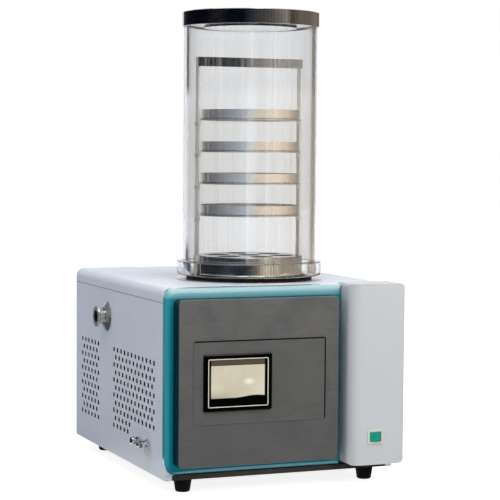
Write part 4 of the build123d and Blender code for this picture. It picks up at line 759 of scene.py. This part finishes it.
# ---------------------------------------------------------------- screws on the rear panel
def pan_head(radius, height):
    """A screw head on a polar grid: height = h * sqrt(1 - (r / R)^4), less a cross recess whose depth is
    full where the nearer of |x| and |y| is well under its width, and fades out at its reach."""
    rings, spokes = 16, 48
    recess_width, recess_reach, recess_depth = 0.22 * radius, 0.62 * radius, 0.55 * height
    r = np.concatenate([[0.0], np.linspace(0.06, 1.0, rings - 1)])[:, None] * radius
    a = np.linspace(0, 2 * math.pi, spokes, endpoint=False)[None, :]
    x, y = r * np.cos(a), r * np.sin(a)
    dome = height * np.sqrt(np.clip(1 - (r / radius) ** 4, 0, 1))
    off_arm = np.minimum(np.abs(x), np.abs(y))
    recess = np.clip((recess_width - off_arm) / (0.35 * recess_width), 0, 1)
    recess = recess * np.clip((recess_reach - r) / (0.25 * recess_reach), 0, 1)
    points = np.stack([x, y, dome - recess_depth * recess], -1).reshape(-1, 3)
    return points, quads(rings, spokes, False, True) + end_caps(rings, spokes)[1:]


def rear_screws(spots, name, radius, height, material):
    """Pan-head screws that face the back, at (x, y, z) spots on their seats, each turned by its own
    angle t: point = spot + (-(x cos t - y sin t), height, x sin t + y cos t)."""
    head, head_faces = pan_head(radius, height)
    spots = np.asarray(spots, float)
    first_turn, next_turn = math.radians(7), math.radians(23)
    t = (first_turn + next_turn * np.arange(len(spots)))[:, None]
    across = head[:, 0] * np.cos(t) - head[:, 1] * np.sin(t)
    up = head[:, 0] * np.sin(t) + head[:, 1] * np.cos(t)
    points = spots[:, None, :] + np.stack([-across, head[:, 2] + 0 * t, up], -1)
    starts = len(head) * np.arange(len(spots))
    faces = [np.add(face, start).tolist() for start in starts for face in head_faces]
    mesh_piece(name, points.reshape(-1, 3), faces, material, "cabinet", 40.0)


rear_low, rear_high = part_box("rear_panel")
EDGE = 9 * MM
xs = (rear_low.x + EDGE, (rear_low.x + rear_high.x) / 2, rear_high.x - EDGE)
spots = [(x, rear_high.y, z) for x in xs for z in (rear_low.z + EDGE, rear_high.z - EDGE)]
spots += [(x, rear_high.y, (rear_low.z + rear_high.z) / 2) for x in (xs[0], xs[2])]
rear_screws(spots, "rear_panel_screws", 3.6 * MM, 2.3 * MM, zinc)


# ---------------------------------------------------------------- floor, room and light
def bare_tree(owner):
    """The empty node tree of a material or of the world."""
    owner.use_nodes = True
    owner.node_tree.nodes.clear()
    return owner.node_tree


def seen_directly(tree):
    """1 for the camera, for mirrors and through glass, and 0 for light that falls on things."""
    ways = ("Is Camera Ray", "Is Glossy Ray", "Is Transmission Ray")
    return joined(tree, "MAXIMUM", *[add(tree, "LightPath", out=way) for way in ways])


def stage_piece(name, points, faces, material):
    """A piece of the studio, which isn't part of the machine."""
    mesh = bpy.data.meshes.new(name)
    mesh.from_pydata(points, [], faces)
    mesh.materials.append(material)
    made = bpy.data.objects.new(name, mesh)
    bpy.context.scene.collection.objects.link(made)
    return made


# The floor is lit by the lamps as usual, with a little light of its own where it is seen directly, so
# that it shows as white and keeps the shadow.
paper = bpy.data.materials.new("pale_studio_floor")
tree = bare_tree(paper)
diffuse = add(tree, "BsdfDiffuse", {"Color": srgb("#C9CACB")})
power = joined(tree, "MULTIPLY", seen_directly(tree), 0.85)
glow = add(tree, "Emission", {"Color": srgb("#FFFFFF"), "Strength": power})
add(tree, "OutputMaterial", {"Surface": add(tree, "AddShader", {0: diffuse, 1: glow})})
FAR = 12.0
square = [(-FAR, -FAR, 0), (FAR, -FAR, 0), (FAR, FAR, 0), (-FAR, FAR, 0)]
stage_piece("floor", square, [(0, 1, 2, 3)], paper)

world = bpy.context.scene.world = bpy.data.worlds.new("soft_white_room")
tree = bare_tree(world)
ambient = add(tree, "Background", {"Color": srgb("#F2F5FA"), "Strength": 0.52})
white = add(tree, "Background", {"Color": srgb("#FFFFFF"), "Strength": 1.0})
either = add(tree, "MixShader", {0: seen_directly(tree), 1: ambient, 2: white})
add(tree, "OutputWorld", {"Surface": either})

# What the shiny surfaces mirror: angle round the machine from the camera's side, in degrees, positive
# towards the camera's right, with the tones facing the cabinet, the rack's base, the trays, the lid and
# overhead.
ROOM = (
    (-147, "#A0A6B2", "#5A606C", "#D2D5DA", "#5A5F6A", "#77809A"),
    (-134, "#8A909C", "#3A3F4A", "#B4B8BF", "#22242D", "#77809A"),
    (-122, "#1A1D24", "#2A2E38", "#7A7E87", "#12131B", "#77809A"),
    (-95, "#171A21", "#191B22", "#6A6C73", "#0C0D14", "#727B92"),
    (-60, "#14171E", "#1E212A", "#84878E", "#07090F", "#6E7789"),
    (-30, "#12161E", "#161C28", "#A8B0BE", "#060C17", "#6A7386"),
    (-10, "#171B22", "#191D26", "#BEC7D6", "#09121F", "#6A7386"),
    (-1, "#24262A", "#25282E", "#D2D8E0", "#2A2D38", "#8F949C"),
    (14, "#33322F", "#5F5C56", "#EAE3D8", "#464447", "#C8C2B4"),
    (34, "#44413B", "#D6CCB8", "#F8E9D3", "#5C5853", "#DED3BE"),
    (50, "#4B4740", "#ABA191", "#F8E9D3", "#77746C", "#EFE2CB"),
    (57, "#514C45", "#C9BEAB", "#FFF0DA", "#8E8B81", "#EFE2CB"),
    (66, "#49453F", "#8F8576", "#F8E8D0", "#4C4A45", "#E6DAC4"),
    (84, "#4B4740", "#A0988C", "#F0DEC4", "#746D62", "#EFE2CB"),
    (106, "#4A453E", "#9C9288", "#C2B29C", "#756B60", "#F4E8D2"),
    (128, "#57514A", "#A89C8F", "#8D8174", "#8D8174", "#F4E8D2"),
    (150, "#57534D", "#8A8681", "#75706A", "#5E5953", "#D8CDB8"))
CAMERA_SIDE = -21.6
# For each tone, its brightness and how strong its upright streaks are.
TONE_LEVELS = ((1.0, 0.25), (1.3, 0.85), (1.4, 0.42), (1.0, 0.42), (1.0, 0.25))
# Each row of the screen: its distance from the machine, its height, and which tone it has.
NEAR, WALL = 0.33, 1.5
SCREEN_ROWS = (
    (NEAR, 0.004, 0), (WALL, 0.005, 0), (WALL, 0.24, 0), (WALL, 0.265, 1), (WALL, 0.33, 1), (WALL, 0.37, 2),
    (WALL, 0.755, 2), (WALL, 0.79, 3), (WALL, 1.2, 3), (WALL, 1.6, 4), (WALL, 3.2, 4))


def mirrored_light():
    """A surface that only light which has been mirrored sees: it shines with its own tone."""
    material = bpy.data.materials.new("room_screen")
    tree = bare_tree(material)
    glow = add(tree, "Emission", {"Color": add(tree, "Attribute", out="Color", attribute_name="tone")})
    bounces = add(tree, "LightPath", out="Glossy Depth")
    mirrored = add(tree, "Math", {0: bounces, 1: 0.5}, operation="GREATER_THAN")
    nothing = add(tree, "BsdfTransparent")
    add(tree, "OutputMaterial", {"Surface": add(tree, "MixShader", {0: mirrored, 1: nothing, 2: glow})})
    return material


def room_screen():
    """A tall curved screen round the camera's side of the machine, and the ground in front of it: point =
    (R sin a, -R cos a, z), with fine upright streaks on its right half. The view through the bell stays
    white from every side, because only mirrored light sees the screen."""
    columns, streaks_from, streaks_full = 700, -6.0, 14.0
    angles = np.linspace(ROOM[0][0], ROOM[-1][0], columns)
    away, heights = np.array(SCREEN_ROWS)[:, 0:1], np.array(SCREEN_ROWS)[:, 1:2]
    turn = np.radians(angles + CAMERA_SIDE)[None, :]
    points = np.stack([away * np.sin(turn), -away * np.cos(turn), heights + 0 * turn], -1).reshape(-1, 3)
    # Waves of unrelated lengths, so that no streak repeats.
    wave = np.sin(angles * 1.9) * np.sin(angles * 0.77 + 1) + np.sin(angles * 4.3 + 2) * 0.6
    streak = np.clip((angles - streaks_from) / (streaks_full - streaks_from), 0, 1) * wave
    stops = [row[0] for row in ROOM]
    tones = []
    for column, (level, contrast) in enumerate(TONE_LEVELS, 1):
        linear = np.array([srgb(row[column])[:3] for row in ROOM])
        shade = np.stack([np.interp(angles, stops, channel) for channel in linear.T], -1)
        tones.append(shade * level * np.clip(1 + contrast * streak, 0.1, 2.0)[:, None])
    rows = np.stack([tones[tone] for _, _, tone in SCREEN_ROWS])
    colours = np.concatenate([rows, np.ones(rows.shape[:2] + (1,))], -1).reshape(-1).astype(np.float32)
    faces = quads(len(SCREEN_ROWS), columns, False, False)
    screen = stage_piece("room_screen", points.tolist(), faces, mirrored_light())
    screen.data.attributes.new("tone", "FLOAT_COLOR", "POINT").data.foreach_set("color", colours)
    screen.visible_camera = screen.visible_diffuse = screen.visible_shadow = False


room_screen()


def lamp(name, place, aim, size, watts, tint="#FFFFFF"):
    """A rectangular soft lamp at place, turned to its aim."""
    data = bpy.data.lights.new(name, "AREA")
    data.shape = "RECTANGLE"
    data.size, data.size_y = size
    data.energy = watts
    data.color = srgb(tint)[:3]
    made = bpy.data.objects.new(name, data)
    made.location = place
    made.rotation_mode = "QUATERNION"
    made.rotation_quaternion = (Vector(aim) - Vector(place)).to_track_quat("-Z", "Y")
    bpy.context.scene.collection.objects.link(made)


lamp("overhead_soft_box", (-0.2, -1.1, 3.4), (0.0, 0.0, 0.3), (3.0, 2.4), 86)
lamp("front_right_soft_box", (1.9, -3.2, 2.2), (0.0, 0.0, 0.35), (1.8, 2.0), 40)
lamp("left_soft_box", (-3.2, -0.8, 1.6), (0.0, 0.0, 0.3), (1.8, 1.8), 10, "#F0F4FF")


# ---------------------------------------------------------------- camera
def aim_camera():
    """A long lens from the front left, a little above the machine, with a slight roll."""
    azimuth, pitch, roll = math.radians(-22.33), math.radians(3.36), math.radians(0.43)
    place = Vector((-1.2407, -3.1401, 0.6195))
    level = Vector((-math.sin(azimuth), math.cos(azimuth), 0))
    forward = level * math.cos(pitch) - Vector((0, 0, math.sin(pitch)))
    side = forward.cross(Vector((0, 0, 1))).normalized()
    up = side.cross(forward)
    right_axis = side * math.cos(roll) + up * math.sin(roll)
    up_axis = up * math.cos(roll) - side * math.sin(roll)
    data = bpy.data.cameras.new("studio_camera")
    data.sensor_width = 36.0
    data.lens = 124.8
    data.clip_end = 100.0
    camera = bpy.data.objects.new("studio_camera", data)
    turned = Matrix((right_axis, up_axis, -forward)).transposed()
    camera.matrix_world = Matrix.Translation(place) @ turned.to_4x4()
    bpy.context.scene.collection.objects.link(camera)
    bpy.context.scene.camera = camera


aim_camera()
bpy.context.scene.view_settings.view_transform = "Standard"
